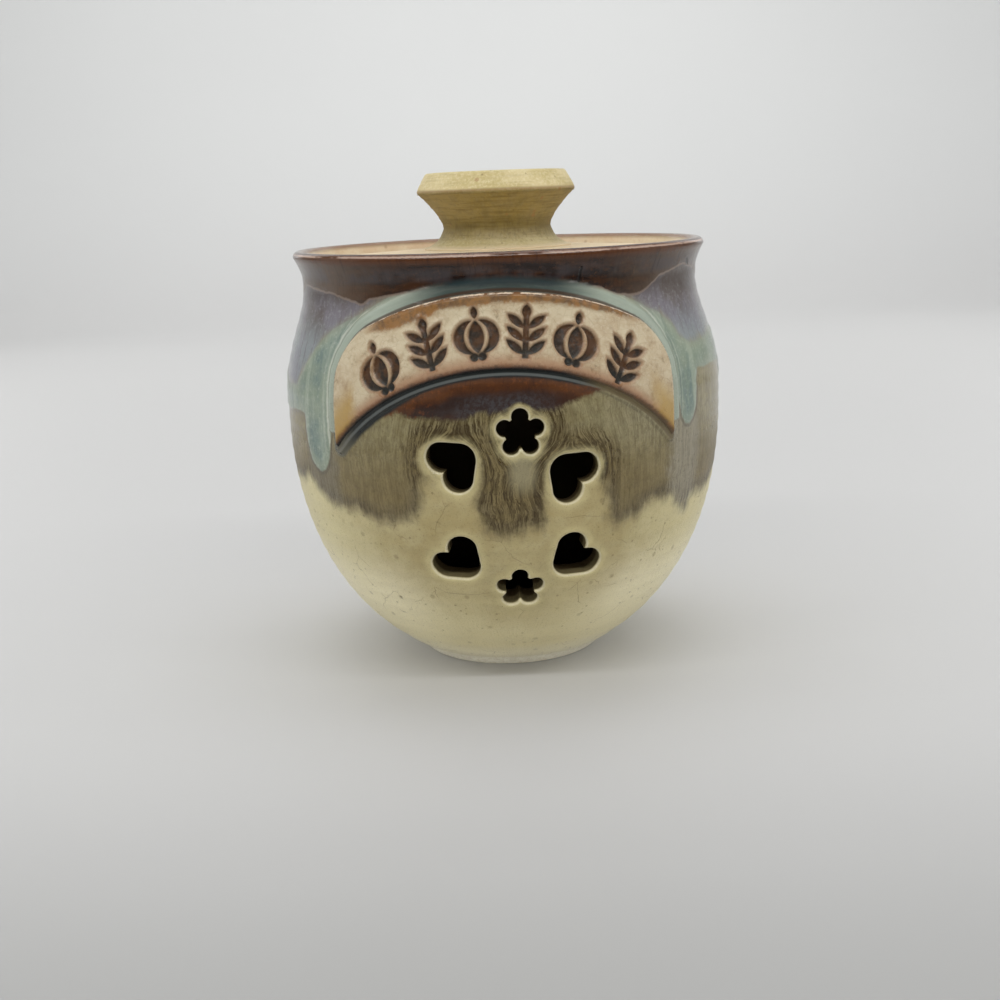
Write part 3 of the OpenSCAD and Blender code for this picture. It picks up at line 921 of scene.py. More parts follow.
def make_slab():
    """The slab: a grid across its outline, lifted off the wall by slab_lift, with its back sunk into
    the wall."""
    columns, rows = 321, 73
    u = LABEL_HALF * crowded(columns, 0.25)
    v = (crowded(rows, 0.35) + 1.0) / 2.0
    low, high = label_bottom_z(u), label_top_z(u)
    z = low[None, :] + (high - low)[None, :] * v[:, None]
    u = np.broadcast_to(u, z.shape)
    turn = u / BELLY_R
    flat = np.stack([u.ravel(), z.ravel()], axis=1)
    edge_gap = np.maximum(0.0, -nearest_outline_chunks(flat, LABEL_OUTLINE)).reshape(z.shape)
    edge_gap[[0, -1]] = 0.0
    edge_gap[:, [0, -1]] = 0.0
    stamp = stamp_gap(u, z)
    face = off_wall(turn, z, slab_lift(edge_gap, stamp, turn, z)).reshape(-1, 3)
    back = off_wall(turn, z, -SLAB_SUNK).reshape(-1, 3)
    points = np.concatenate((face, back))
    front = grid_quads(rows, columns, False).reshape(-1, 4)
    index = np.arange(rows * columns).reshape(rows, columns)
    walk = np.concatenate((index[0, :-1], index[:-1, -1], index[-1, :0:-1], index[:0:-1, 0]))
    after = np.roll(walk, -1)
    skirt = np.stack([walk, walk + len(face), after + len(face), after], axis=1)
    quads = np.concatenate((front, front[:, ::-1] + len(face), skirt))
    attributes = {
        "edge": np.concatenate((edge_gap.ravel(), np.zeros(len(face)))),
        "stamp": np.tile(stamp.ravel(), 2),
        "low": np.tile((z - label_bottom_z(u)).ravel(), 2),
        "high": np.tile((label_top_z(u) - z).ravel(), 2),
        "side": np.tile(np.abs(u).ravel(), 2),
    }
    return make_mesh("slab", points, quads, [], attributes)


# ---- the lid ----

LID_COLUMNS = 288


def thrown_lines(rows, first, last, pitch, depth, seed):
    """Moves a profile inwards by fine uneven throwing lines between two of its rows."""
    chance = np.random.default_rng(seed)
    run = run_along(rows)
    along = np.gradient(rows, axis=0)
    length = np.hypot(along[:, 0], along[:, 1])
    normal = np.stack([along[:, 1], -along[:, 0]], axis=1) / np.maximum(length, 1e-9)[:, None]
    wave = np.zeros(len(rows))
    for share in (1.0, 1.63, 2.7, 0.47):
        wave += np.sin(run * 2.0 * math.pi * share / pitch + chance.uniform(0.0, 6.28)) / 4.0
    index = np.arange(len(rows))
    shade = np.clip(np.minimum(index - first, last - index) / 6.0, 0.0, 1.0)
    return rows + normal * (depth * (wave - 1.0) / 2.0 * shade)[:, None]


def make_lid_plate():
    """The lid's round plate: a shallow hollow under it, a rounded edge and a face that rises to
    the knob."""
    hollow_edge = LID_R - LID_LAND
    corners = [
        [0.0, LID_HOLLOW],
        [hollow_edge - LID_HOLLOW, LID_HOLLOW],
        [hollow_edge, 0.0],
        [LID_R - 0.2, 0.0],
        [LID_R, 0.4],
        [LID_R, LID_EDGE],
        [KNOB_FOOT_R, LID_EDGE + LID_RISE],
        [0.0, LID_EDGE + LID_RISE],
    ]
    rows = evenly(soften(corners, [1.0, 1.0, 0.2, 0.3, LID_ROUND, 2.0], 9), 0.42)
    rows = rows + [0.0, SEAT_HEIGHT]
    face = np.nonzero((rows[:, 1] > SEAT_HEIGHT + LID_EDGE - 0.3) & (rows[:, 0] < LID_R - 1.0))[0]
    rows = thrown_lines(rows, face[0], len(rows) - 30, pitch=2.6, depth=0.16, seed=3)
    rows[0, 0] = rows[-1, 0] = 0.0
    return turned("lid_top", rows, LID_COLUMNS)


def make_knob():
    """The knob: a foot that spreads onto the lid, a waist, an underside that flares to a sharp edge,
    a bevel and a dished top."""
    t = 1.0 - np.linspace(0.0, 1.0, 40)
    reach = 1.0 - quarter(t, 1.7)
    foot = np.stack([
        WAIST_R + (KNOB_FOOT_R - WAIST_R) * reach,
        WAIST_HEIGHT - (WAIST_HEIGHT - 0.3) * t,
    ], axis=1)
    t = np.linspace(0.0, 1.0, 60)[1:]
    under = np.stack([
        WAIST_R + (KNOB_R - WAIST_R) * t ** KNOB_CURVE,
        WAIST_HEIGHT + (KNOB_EDGE_HEIGHT - WAIST_HEIGHT) * t,
    ], axis=1)
    top_z = KNOB_EDGE_HEIGHT + KNOB_BEVEL_HEIGHT
    top_r = KNOB_R - KNOB_BEVEL_WIDTH
    t = np.linspace(0.0, 1.0, 30)
    dish = np.stack([
        (top_r - KNOB_ROUND) * (1.0 - t),
        top_z - KNOB_DISH * (1.0 - np.cos(math.pi * t)) / 2.0,
    ], axis=1)
    crown = soften([under[-3], [KNOB_R, KNOB_EDGE_HEIGHT], [top_r, top_z], dish[1]], [0.9, KNOB_ROUND], 9)
    sunk = [[0.0, -0.4], [KNOB_FOOT_R - 0.2, -0.4]]
    rows = np.concatenate((sunk, foot, under[:-2], crown[1:], dish[2:]))
    rows = evenly(rows, 0.33) + [0.0, LID_TOP]
    tall = np.nonzero(rows[:, 1] > LID_TOP + 0.6)[0]
    rows = thrown_lines(rows, tall[0], len(rows) - 4, pitch=2.1, depth=0.2, seed=8)
    rows[0, 0] = rows[-1, 0] = 0.0
    return turned("lid_handle", rows, LID_COLUMNS)


# ---- materials ----


def rgb(red, green, blue):
    """A colour given as it shows on a screen, from 0 to 255, as Blender's linear numbers."""
    levels = np.array([red, green, blue]) / 255.0
    linear = np.where(levels <= 0.04045, levels / 12.92, ((levels + 0.055) / 1.055) ** 2.4)
    return (*linear.tolist(), 1.0)


class Wire:
    """An output socket; arithmetic on it adds the Math nodes that carry the sum out."""

    def __init__(self, nodes, socket):
        self.nodes = nodes
        self.socket = socket

    def math(self, operation, *values):
        """A Math node's result for values that are numbers or wires."""
        return self.nodes.wire("Math", {"operation": operation}, dict(enumerate(values)))

    def __add__(self, other):
        return self.math("ADD", self, other)

    def __sub__(self, other):
        return self.math("SUBTRACT", self, other)

    def __rsub__(self, other):
        return self.math("SUBTRACT", other, self)

    def __mul__(self, other):
        return self.math("MULTIPLY", self, other)

    def __truediv__(self, other):
        return self.math("DIVIDE", self, other)

    def __rtruediv__(self, other):
        return self.math("DIVIDE", other, self)

    def __abs__(self):
        return self.math("ABSOLUTE", self)

    __radd__ = __add__
    __rmul__ = __mul__

    def most(self, other):
        """The greater of this value and another."""
        return self.math("MAXIMUM", self, other)

    def stir(self, amount, noise):
        """This value moved up and down by a noise from 0 to 1, by an amount from end to end."""
        return self + amount * (noise - 0.5)


class Nodes:
    """A node tree and short ways to add nodes to it."""

    def __init__(self, tree):
        self.tree = tree

    def node(self, kind, settings=None, inputs=None):
        """A node of one type: its settings first, then the values or links of its sockets."""
        node = self.tree.nodes.new("ShaderNode" + kind)
        for key, value in (settings or {}).items():
            setattr(node, key, value)
        for key, value in (inputs or {}).items():
            if isinstance(value, Wire):
                self.tree.links.new(value.socket, node.inputs[key])
            else:
                node.inputs[key].default_value = value
        return node

    def wire(self, kind, settings=None, inputs=None, output=0):
        """One output of a new node, ready for arithmetic."""
        return Wire(self, self.node(kind, settings, inputs).outputs[output])

    def part(self, vector, axis):
        """One part of a vector, X, Y or Z."""
        return self.wire("SeparateXYZ", inputs={0: vector}, output=axis)

    def stretch(self, vector, x, y, z):
        """A vector with each part multiplied by its own number."""
        return self.wire("VectorMath", {"operation": "MULTIPLY"}, {0: vector, 1: (x, y, z)})

    def shift(self, vector, other):
        """The sum of two vectors."""
        return self.wire("VectorMath", {"operation": "ADD"}, {0: vector, 1: other})

    def fade(self, value, start, end):
        """Rises smoothly from 0 where the value is start to 1 where it is end."""
        inputs = {"Value": value, "From Min": start, "From Max": end}
        return self.wire("MapRange", {"interpolation_type": "SMOOTHSTEP"}, inputs)

    def mix(self, share, below, above):
        """The colour above laid over the colour below by a share; a colour is a wire or three screen
        levels, as rgb takes them."""
        below, above = [colour if isinstance(colour, Wire) else rgb(*colour) for colour in (below, above)]
        settings = {"data_type": "RGBA", "clamp_factor": True}
        return self.wire("Mix", settings, {0: share, 6: below, 7: above}, 2)

    def coats(self, colour, *layers):
        """A colour with others laid over it in order; each layer is the share that it covers and
        its colour."""
        for share, above in layers:
            colour = self.mix(share, colour, above)
        return colour


class Finish(Nodes):
    """A material; place is the object's own coordinates in millimetres."""

    def __init__(self, name):
        self.material = bpy.data.materials.new(name)
        self.material.use_nodes = True
        super().__init__(self.material.node_tree)
        self.shader = self.tree.nodes["Principled BSDF"]
        own = self.wire("TexCoord", output="Object")
        self.place = self.wire("VectorMath", {"operation": "SCALE"}, {0: own, "Scale": 1.0 / MM})

    def attribute(self, name, output="Fac"):
        """What the mesh carries at each point under a name."""
        return self.wire("Attribute", {"attribute_name": name}, output=output)

    def noise(self, size, detail=2.0, roughness=0.5, vector=None):
        """Soft noise from 0 to 1 with blobs about one size across, in millimetres."""
        inputs = {
            "Vector": self.place if vector is None else vector,
            "Scale": 1.0 / size,
            "Detail": detail,
            "Roughness": roughness,
        }
        return self.wire("TexNoise", inputs=inputs)

    def cracks(self, size, width, vector=None):
        """1 on the lines of a net of cracks, cells one size across and lines one width wide, and 0
        between."""
        inputs = {"Vector": self.place if vector is None else vector, "Scale": 1.0 / size}
        gap = self.wire("TexVoronoi", {"feature": "DISTANCE_TO_EDGE"}, inputs, "Distance")
        return self.fade(gap, width / size, 0.0)

    def specks(self, size, share):
        """1 inside small round spots, a share of the cells of one size, and 0 elsewhere."""
        cell = self.node("TexVoronoi", inputs={"Vector": self.place, "Scale": 1.0 / size})
        chance = self.part(Wire(self, cell.outputs["Color"]), "X")
        spot = self.fade(Wire(self, cell.outputs["Distance"]), 0.34, 0.16)
        return spot * self.fade(chance, share, share - 0.02)

    def stroke(self, across, along, middle, slope, ends, width):
        """1 along a short slanting line: across = middle + slope * along between its two ends."""
        line = self.fade(abs(across - middle - slope * along), width, 0.3 * width)
        return line * self.fade(along, ends[0], ends[0] + 0.4) * self.fade(along, ends[1], ends[1] - 0.4)

    def finish(self, colour, roughness, height, coat):
        """Links the colour, the roughness and the height in millimetres to the shader."""
        inputs = {"Strength": 1.0, "Distance": MM, "Height": height}
        bump = self.wire("Bump", inputs=inputs, output="Normal")
        for name, wire in (("Base Color", colour), ("Roughness", roughness), ("Normal", bump)):
            self.tree.links.new(wire.socket, self.shader.inputs[name])
        self.shader.inputs["Specular IOR Level"].default_value = 0.35
        self.shader.inputs["Coat Weight"].default_value = coat
        self.shader.inputs["Coat Roughness"].default_value = 0.05
        return self.material


def lid_finish():
    """Matte mustard glaze of the lid and knob: fine throwing lines, faint dark streaks down the waist, a
    mottled skin, pinholes and brown specks, a worn edge, and painted shade under the knob's flare and round
    its waist. Heights count from the top of the plate."""
    f = Finish("lid_glaze")
    height = f.part(f.place, "Z") - LID_TOP
    broad = f.noise(9.0, 3.0, 0.6)
    middling = f.noise(2.6, 3.0, 0.6)
    grain = f.noise(0.8, 4.0, 0.7)
    lines = f.noise(0.6, 3.0, 0.6, f.stretch(f.place, 0.05, 0.05, 1.0))
    drops = f.noise(0.9, 4.0, 0.65, f.stretch(f.place, 1.0, 1.0, 0.2))
    upper = f.fade(height, KNOB_EDGE_HEIGHT - 0.5, KNOB_EDGE_HEIGHT + 0.5)
    # painted shade: the underside of the knob's flare, from the waist up to the edge, and a band round the
    # waist
    under = f.fade(height, 1.6, WAIST_HEIGHT) * (1.0 - upper)
    shade = f.mix(f.fade(middling, 0.4, 0.65), (124, 103, 38), (108, 89, 34))
    waist = f.fade(abs(height - WAIST_HEIGHT + 1.0), 5.5, 1.0)
    edge = f.fade(abs(height - KNOB_EDGE_HEIGHT - 0.5 * grain), 0.7, 0.0)
    plate = f.fade(height, 1.4, 0.0)
    dark = f.specks(1.2, 0.09)
    colour = f.coats(
        (204, 189, 144),
        (f.fade(broad, 0.35, 0.7), (186, 170, 118)),
        (f.fade(grain, 0.42, 0.66) * 0.5, (220, 209, 172)),
        (f.fade(middling, 0.55, 0.75) * 0.4, (170, 152, 100)),
        # painted shade under the flare and round the waist
        (under * 0.78, shade),
        (f.fade(lines, 0.46, 0.7) * (0.2 + 0.3 * under), (106, 86, 42)),
        (waist * 0.45, (78, 65, 24)),
        (f.fade(drops, 0.46, 0.7) * waist * 0.35, (70, 58, 32)),
        (edge * 0.6, (128, 98, 60)),
        (plate * 0.75, (224, 204, 173)),
        (f.specks(2.6, 0.1) * 0.5, (150, 106, 62)),
        (dark * 0.5, (108, 88, 50)),
    )
    return f.finish(colour, 0.55 + 0.15 * grain, 0.07 * lines + 0.08 * grain - 0.05 * dark, 0.0)


def label_finish():
    """Slab: crackled, mottled buff, brown where the glaze is thick along the top and in the stamps,
    and rust edges."""
    f = Finish("label_glaze")
    edge, stamp, low, high, side = [f.attribute(name) for name in ("edge", "stamp", "low", "high", "side")]
    along = f.part(f.place, "X")
    broad = f.noise(8.0, 3.0, 0.6)
    middling = f.noise(3.0, 4.0, 0.65)
    grain = f.noise(0.8, 4.0, 0.7)
    fine = f.noise(0.35, 2.0, 0.5)
    smudge = f.fade(f.noise(4.0, 5.0, 0.75), 0.56, 0.72)
    warm = f.fade(low.stir(3.0, broad).stir(2.0, middling), 5.0, 1.0)
    amber = f.fade(side.stir(5.0, broad), 39.0, 43.5) * f.fade(low, 13.0, 5.0)

    # brown where the glaze is thick along the top, in a band that is wider on the left
    left = f.fade(along.stir(6.0, broad), -12.0, -20.0) * f.fade(along, -36.0, -28.0)
    band = 3.6 - 0.03 * side + 2.2 * left
    uneven = 3.0 * (broad - 0.5) + 2.2 * (middling - 0.5) + 0.8 * (grain - 0.5)
    thick = f.fade(high - band + uneven, 0.8, -0.8) * f.fade(side, 42.0, 34.0)
    brown = f.mix(f.fade(middling, 0.4, 0.62), (132, 88, 36), (86, 56, 26))

    # the stamps and a brown stain round them
    halo = f.fade(stamp.stir(0.6, grain), 1.1, 0.1)
    inside = f.fade(stamp.stir(0.3, grain), 0.2, -0.2)
    pit = f.coats(
        (74, 46, 24),
        (f.fade(middling, 0.42, 0.6), (34, 28, 24)),
        (f.fade(low.stir(3.0, middling), 7.5, 4.0) * 0.8, (24, 34, 34)),
    )

    # the edge: rust, then the pot's own glaze where it wets the slab, and a pale line along the top edge
    # where the glaze broke thin, painted brighter as its highlight
    rim = f.fade(edge.stir(1.0, grain), 1.5, 0.5)
    rim_colour = f.mix(f.fade(middling, 0.4, 0.62), (112, 70, 40), (70, 46, 34))
    wet = f.fade(edge, 0.8, 0.2)
    lower_wet = f.fade(low, 3.0, 1.5)
    upper_wet = 1.0 - lower_wet
    wet_colour = f.mix(f.fade(along, 14.0, 26.0) * 0.8, (26, 27, 28), (104, 86, 62))
    broken_and_highlight = f.fade(abs(edge - 0.75 - 0.5 * (grain - 0.5)), 0.32, 0.08) * upper_wet
    craze = f.cracks(2.1, 0.06)
    colour = f.coats(
        (194, 180, 151),
        (f.fade(broad, 0.38, 0.66), (176, 156, 126)),
        (f.fade(grain, 0.45, 0.7) * 0.5, (200, 190, 164)),
        (f.fade(middling, 0.52, 0.72) * 0.5, (146, 122, 92)),
        (smudge * 0.6, (96, 88, 62)),
        (warm * 0.75, (150, 106, 76)),
        (amber * 0.8, (166, 134, 68)),
        (thick * 0.88, brown),
        (halo * 0.6, (128, 88, 56)),
        (inside * 0.96, pit),
        (rim * 0.85, rim_colour),
        (wet * lower_wet, wet_colour),
        (wet * upper_wet * 0.8, (84, 92, 84)),
        # pale broken line along the top edge, partly painted highlight
        (broken_and_highlight * f.fade(middling, 0.4, 0.55) * 0.9, (234, 214, 188)),
        (craze * 0.3, (112, 84, 58)),
    )
    rough = 0.26 + 0.16 * grain - 0.1 * thick
    rough = rough * (1.0 - 0.75 * (rim * upper_wet).most(0.8 * halo))
    relief = 0.07 * grain + 0.03 * fine + 0.1 * middling - 0.03 * craze + 0.12 * inside * grain
    return f.finish(colour, rough, relief, 0.1)


class PotSkin(Finish):
    """The pot's material, with what its glazes share: the measures that the mesh carries, in millimetres
    and front in degrees, masks from 0 to 1, noises, and noises drawn out along the lines down which the
    glaze ran."""

    def __init__(self):
        super().__init__("pot_glaze")
        self.height = self.part(self.place, "Z")
        for name in ("slab", "below", "run", "teal", "rim", "shoulder", "pool", "front", "vent", "depth"):
            setattr(self, name, self.attribute(name))
        self.above = 1.0 - self.below
        self.facing = self.fade(self.part(self.place, "Y"), 0.0, -20.0)
        self.broad = self.noise(14.0, 3.0, 0.6)
        self.middling = self.noise(4.0, 4.0, 0.65)
        self.grain = self.noise(1.1, 5.0, 0.7)
        self.fine = self.noise(0.4, 3.0, 0.6)
        self.bands = self.noise(3.2, 4.0, 0.6, self.stretch(self.place, 0.22, 0.22, 1.0))
        stream = self.attribute("stream", "Vector")
        inputs = {"Vector": stream, "Scale": 0.14, "Detail": 3.0}
        self.sway = self.wire("TexNoise", inputs=inputs, output="Color")
        lines = self.shift(self.stretch(stream, 1.0, 1.0, 0.05), self.stretch(self.sway, 3.0, 3.0, 0.0))
        self.streaks = self.noise(0.9, 4.0, 0.66, lines)
        self.threads = self.noise(0.36, 3.0, 0.6, lines)
        self.fingers = self.noise(3.4, 2.0, 0.5, lines)


def cream_glaze(f, hair):
    """Satin cream of the lower body with hair cracks and specks, and painted light that makes it paler at
    the sides and low down.
    """
    low_side_painted_light = f.fade(f.height, 46.0, 22.0) * f.fade(abs(f.front), 14.0, 40.0)
    speck = f.specks(3.1, 0.14) * 0.5 + f.specks(1.4, 0.1) * 0.7
    return f.coats(
        (178, 166, 124),
        (f.fade(f.broad, 0.36, 0.68), (164, 149, 104)),
        (f.fade(f.middling, 0.5, 0.72) * 0.4, (188, 178, 140)),
        (f.fade(f.grain, 0.5, 0.68) * 0.35, (144, 130, 90)),
        # painted light: paler towards the sides, paler still low at the sides, paler low down and next to
        # the foot
        (f.fade(abs(f.front), 26.0, 62.0) * 0.7, (216, 206, 160)),
        (low_side_painted_light * 0.8, (240, 232, 200)),
        (f.fade(f.height.stir(10.0, f.broad), 40.0, 10.0) * 0.7, (218, 207, 164)),
        (f.fade(f.height, 12.0, 4.0) * 0.7, (240, 233, 206)),
        (f.fade(f.vent.stir(9.0, f.broad), 13.0, 4.0) * 0.22, (152, 133, 84)),
        (hair * 0.5, (100, 84, 50)),
        (speck * 0.6, (98, 82, 48)),
    )


def olive_glaze(f):
    """Olive runs, greyer at the sides, darker along their lower edge and over the vents, with fine dark
    streaks. Returns the colour and the share of the streaks."""
    sage = f.fade(f.front.stir(16.0, f.broad), 22.0, 32.0) * f.fade(f.height, 66.0, 76.0)
    left = f.fade(abs(f.front + 53.0).stir(6.0, f.middling), 9.0, 5.0) * f.fade(f.height, 74.0, 66.0)
    right = f.fade(abs(f.front - 51.0).stir(8.0, f.middling), 9.0, 4.0) * f.fade(f.height, 86.0, 72.0)
    grey_colour = f.mix(f.fade(f.front, -10.0, 10.0), (120, 113, 94), (148, 142, 124))
    tail = f.fade(f.run.stir(3.0, f.middling), 5.5, 0.5)
    eyebrow = f.fade(f.vent.stir(4.0, f.middling), 9.0, 2.5) * f.fade(f.height, 56.0, 64.0)
    hearth = f.fade(abs(f.front - 2.0), 13.0, 8.0) * f.facing
    dark = f.fade(f.streaks, 0.46, 0.55) * 0.65 + f.fade(f.threads, 0.47, 0.57) * 0.5
    dark = dark * (0.34 + 0.85 * eyebrow.most(0.6 * hearth) + 0.25 * tail) * f.fade(f.height, 90.0, 82.0)
    olive = f.coats(
        (124, 110, 74),
        (f.fade(f.height.stir(10.0, f.broad), 58.0, 80.0), (140, 131, 97)),
        (f.fade(f.middling, 0.42, 0.66) * 0.5, (110, 98, 64)),
        (sage * 0.6, (150, 142, 112)),
        (tail * 0.6, (92, 84, 66)),
        (left.most(right) * 0.8, grey_colour),
        (eyebrow.most(0.4 * hearth) * 0.5, (104, 86, 46)),
        (dark, (58, 45, 20)),
        (f.fade(f.grain, 0.52, 0.66) * 0.35, (78, 68, 42)),
    )
    return olive, dark


def drawn_back(f, colour):
    """The glaze where it drew back from the vents, with a bright wake under the upper flower, and pale lips
    where the glaze is thin, painted bright as their highlight."""
    wide = 1.6 + 2.4 * f.fade(f.height + 0.3 * f.front, 72.0, 60.0)
    halo = f.fade(f.vent.stir(2.0, f.middling).stir(1.0, f.fingers) / wide, 1.0, 0.3)
    wake = f.fade(abs(f.front - 3.8) + 0.1 * abs(f.height - 66.0), 5.0, 1.0)
    wake = wake * f.fade(abs(f.height - 66.5), 8.5, 2.0)
    glow = f.fade(f.vent.stir(2.0, f.middling).stir(1.0, f.grain), 2.8, 0.5)
    # the lips: thin glaze, painted bright as their highlight
    lip = f.fade(abs(f.vent - 0.25 * f.grain), 0.6, 0.1) * f.fade(f.depth, 1.0, 0.4)
    return f.coats(
        colour,
        (halo * 0.75, (174, 160, 116)),
        (wake * f.facing * 0.65, (158, 150, 118)),
        (glow * 0.35, (208, 198, 148)),
        (lip * 0.5, (226, 219, 192)),
    )


def rust_glaze(f):
    """Rust under the slab, going to plum away from it, blue in the middle and brighter close to
    the slab."""
    blue = f.fade(abs(f.front).stir(22.0, f.middling), 18.0, 4.0)
    blue = blue * f.fade(f.slab.stir(3.0, f.broad), 4.0, 7.5)
    blue_colour = f.mix(f.fade(f.grain, 0.4, 0.6), (64, 62, 64), (52, 42, 40))
    ember = f.fade(f.grain, 0.5, 0.68)
    ember = ember * f.fade(abs(f.front + 22.0), 8.0, 2.0).most(f.fade(f.slab, 6.0, 2.0))
    return f.coats(
        (88, 52, 26),
        (f.fade(f.slab.stir(5.0, f.middling), 2.6, 6.5), (46, 32, 28)),
        (f.fade(f.bands, 0.45, 0.62) * 0.5, (66, 38, 22)),
        (blue * 0.85, blue_colour),
        (ember * 0.45, (124, 68, 28)),
        (f.fade(f.streaks, 0.52, 0.7) * 0.4, (36, 26, 23)),
    )


def lavender_glaze(f):
    """Lavender and blue-grey of the shoulder, browner towards the neck."""
    return f.coats(
        (134, 140, 141),
        (f.fade(f.height.stir(7.0, f.middling), 96.0, 107.0), (102, 94, 92)),
        (f.fade(f.broad, 0.42, 0.62) * 0.5, (124, 122, 134)),
        (f.fade(f.streaks, 0.48, 0.7) * 0.5, (88, 78, 78)),
        (f.fade(f.grain, 0.5, 0.66) * 0.35, (158, 160, 162)),
        (f.fade(f.height.stir(4.0, f.middling), 106.0, 112.0) * 0.7, (66, 54, 44)),
    )


def celadon_glaze(f):
    """Celadon, paler where it is thick against the slab, and rippled along the slab's edge."""
    ring = f.fade(f.slab.stir(1.6, f.middling), 5.2, 3.2) * f.fade(f.slab, 0.6, 1.6)
    beside = f.wire("CombineXYZ", inputs={"X": f.slab, "Y": f.front * 0.1})
    ripple = f.noise(1.3, 3.0, 0.6, beside)
    close = f.fade(f.slab, 8.0, 4.0)
    return f.coats(
        (130, 142, 124),
        (f.fade(f.broad.stir(0.5, f.fingers), 0.36, 0.62), (102, 120, 113)),
        (f.fade(f.fingers, 0.48, 0.66) * 0.6, (160, 170, 150)),
        (f.fade(f.teal.stir(3.0, f.middling), 4.0, 0.5) * 0.45, (150, 158, 138)),
        (f.fade(f.streaks, 0.52, 0.74) * 0.45, (86, 104, 102)),
        (f.fade(f.grain, 0.5, 0.68) * 0.3, (184, 190, 176)),
        (ring * 0.5, (164, 168, 146)),
        (f.fade(ripple, 0.5, 0.66) * close * 0.6, (206, 208, 194)),
        (f.fade(ripple, 0.46, 0.34) * close * 0.55, (76, 98, 104)),
    )


def brown_glaze(f):
    """Brown and plum of the rim, banded by the throwing, with a pale line where it is thin on the crest,
    painted bright as the crest's highlight.
    """
    dusk = f.fade(abs(f.height - 116.4 + 2.0 * (f.bands - 0.5)), 2.6, 0.8) * f.fade(f.broad, 0.4, 0.56)
    # the crest: glaze thin on the lip, painted pale as its highlight
    crest = f.fade(abs(f.height - RIM_HEIGHT + 0.75 + 0.5 * (f.grain - 0.5)), 0.35, 0.1)
    crest = crest * f.fade(f.broad, 0.38, 0.5)
    return f.coats(
        (56, 32, 14),
        (f.fade(f.bands.stir(0.3, f.middling), 0.42, 0.58), (27, 14, 9)),
        (f.fade(abs(f.front).stir(24.0, f.middling), 24.0, 54.0) * 0.8, (88, 70, 54)),
        (dusk * 0.6, (66, 60, 61)),
        (f.fade(f.height.stir(1.5, f.bands), 118.6, 120.0) * 0.75, (84, 48, 24)),
        (f.fade(f.grain, 0.54, 0.7) * 0.25, (106, 68, 38)),
        (f.fade(f.streaks, 0.5, 0.7) * 0.4, (32, 20, 16)),
        (crest * 0.6, (206, 178, 160)),
    )


def roll_glaze(f):
    """Blue-black of the roll along the slab's lower edge, paler at its two ends, with a painted highlight on
    its ridge.
    """
    return f.coats(
        (28, 32, 31),
        # painted highlight: a grey line along the roll's ridge
        (f.fade(abs(f.slab - 0.95), 0.5, 0.15), (88, 92, 90)),
        (f.fade(f.front, 16.0, 26.0) * 0.85, (112, 98, 68)),
        (f.fade(f.front, -36.0, -43.0) * 0.6, (120, 116, 98)),
    )


def inner_glaze(f):
    """Peach inside the rim, with brown specks, browner at the crest and dark in the hollow."""
    return f.coats(
        (222, 206, 176),
        (f.fade(f.broad, 0.4, 0.65), (212, 188, 156)),
        (f.specks(4.2, 0.22) * 0.7, (132, 92, 56)),
        (f.fade(f.grain, 0.5, 0.7) * 0.3, (190, 150, 108)),
        (f.fade(f.height, RIM_HEIGHT - 1.9, RIM_HEIGHT - 0.4) * 0.85, (106, 70, 48)),
        (f.fade(f.height, 108.0, 100.0) * 0.96, (46, 37, 24)),
    )


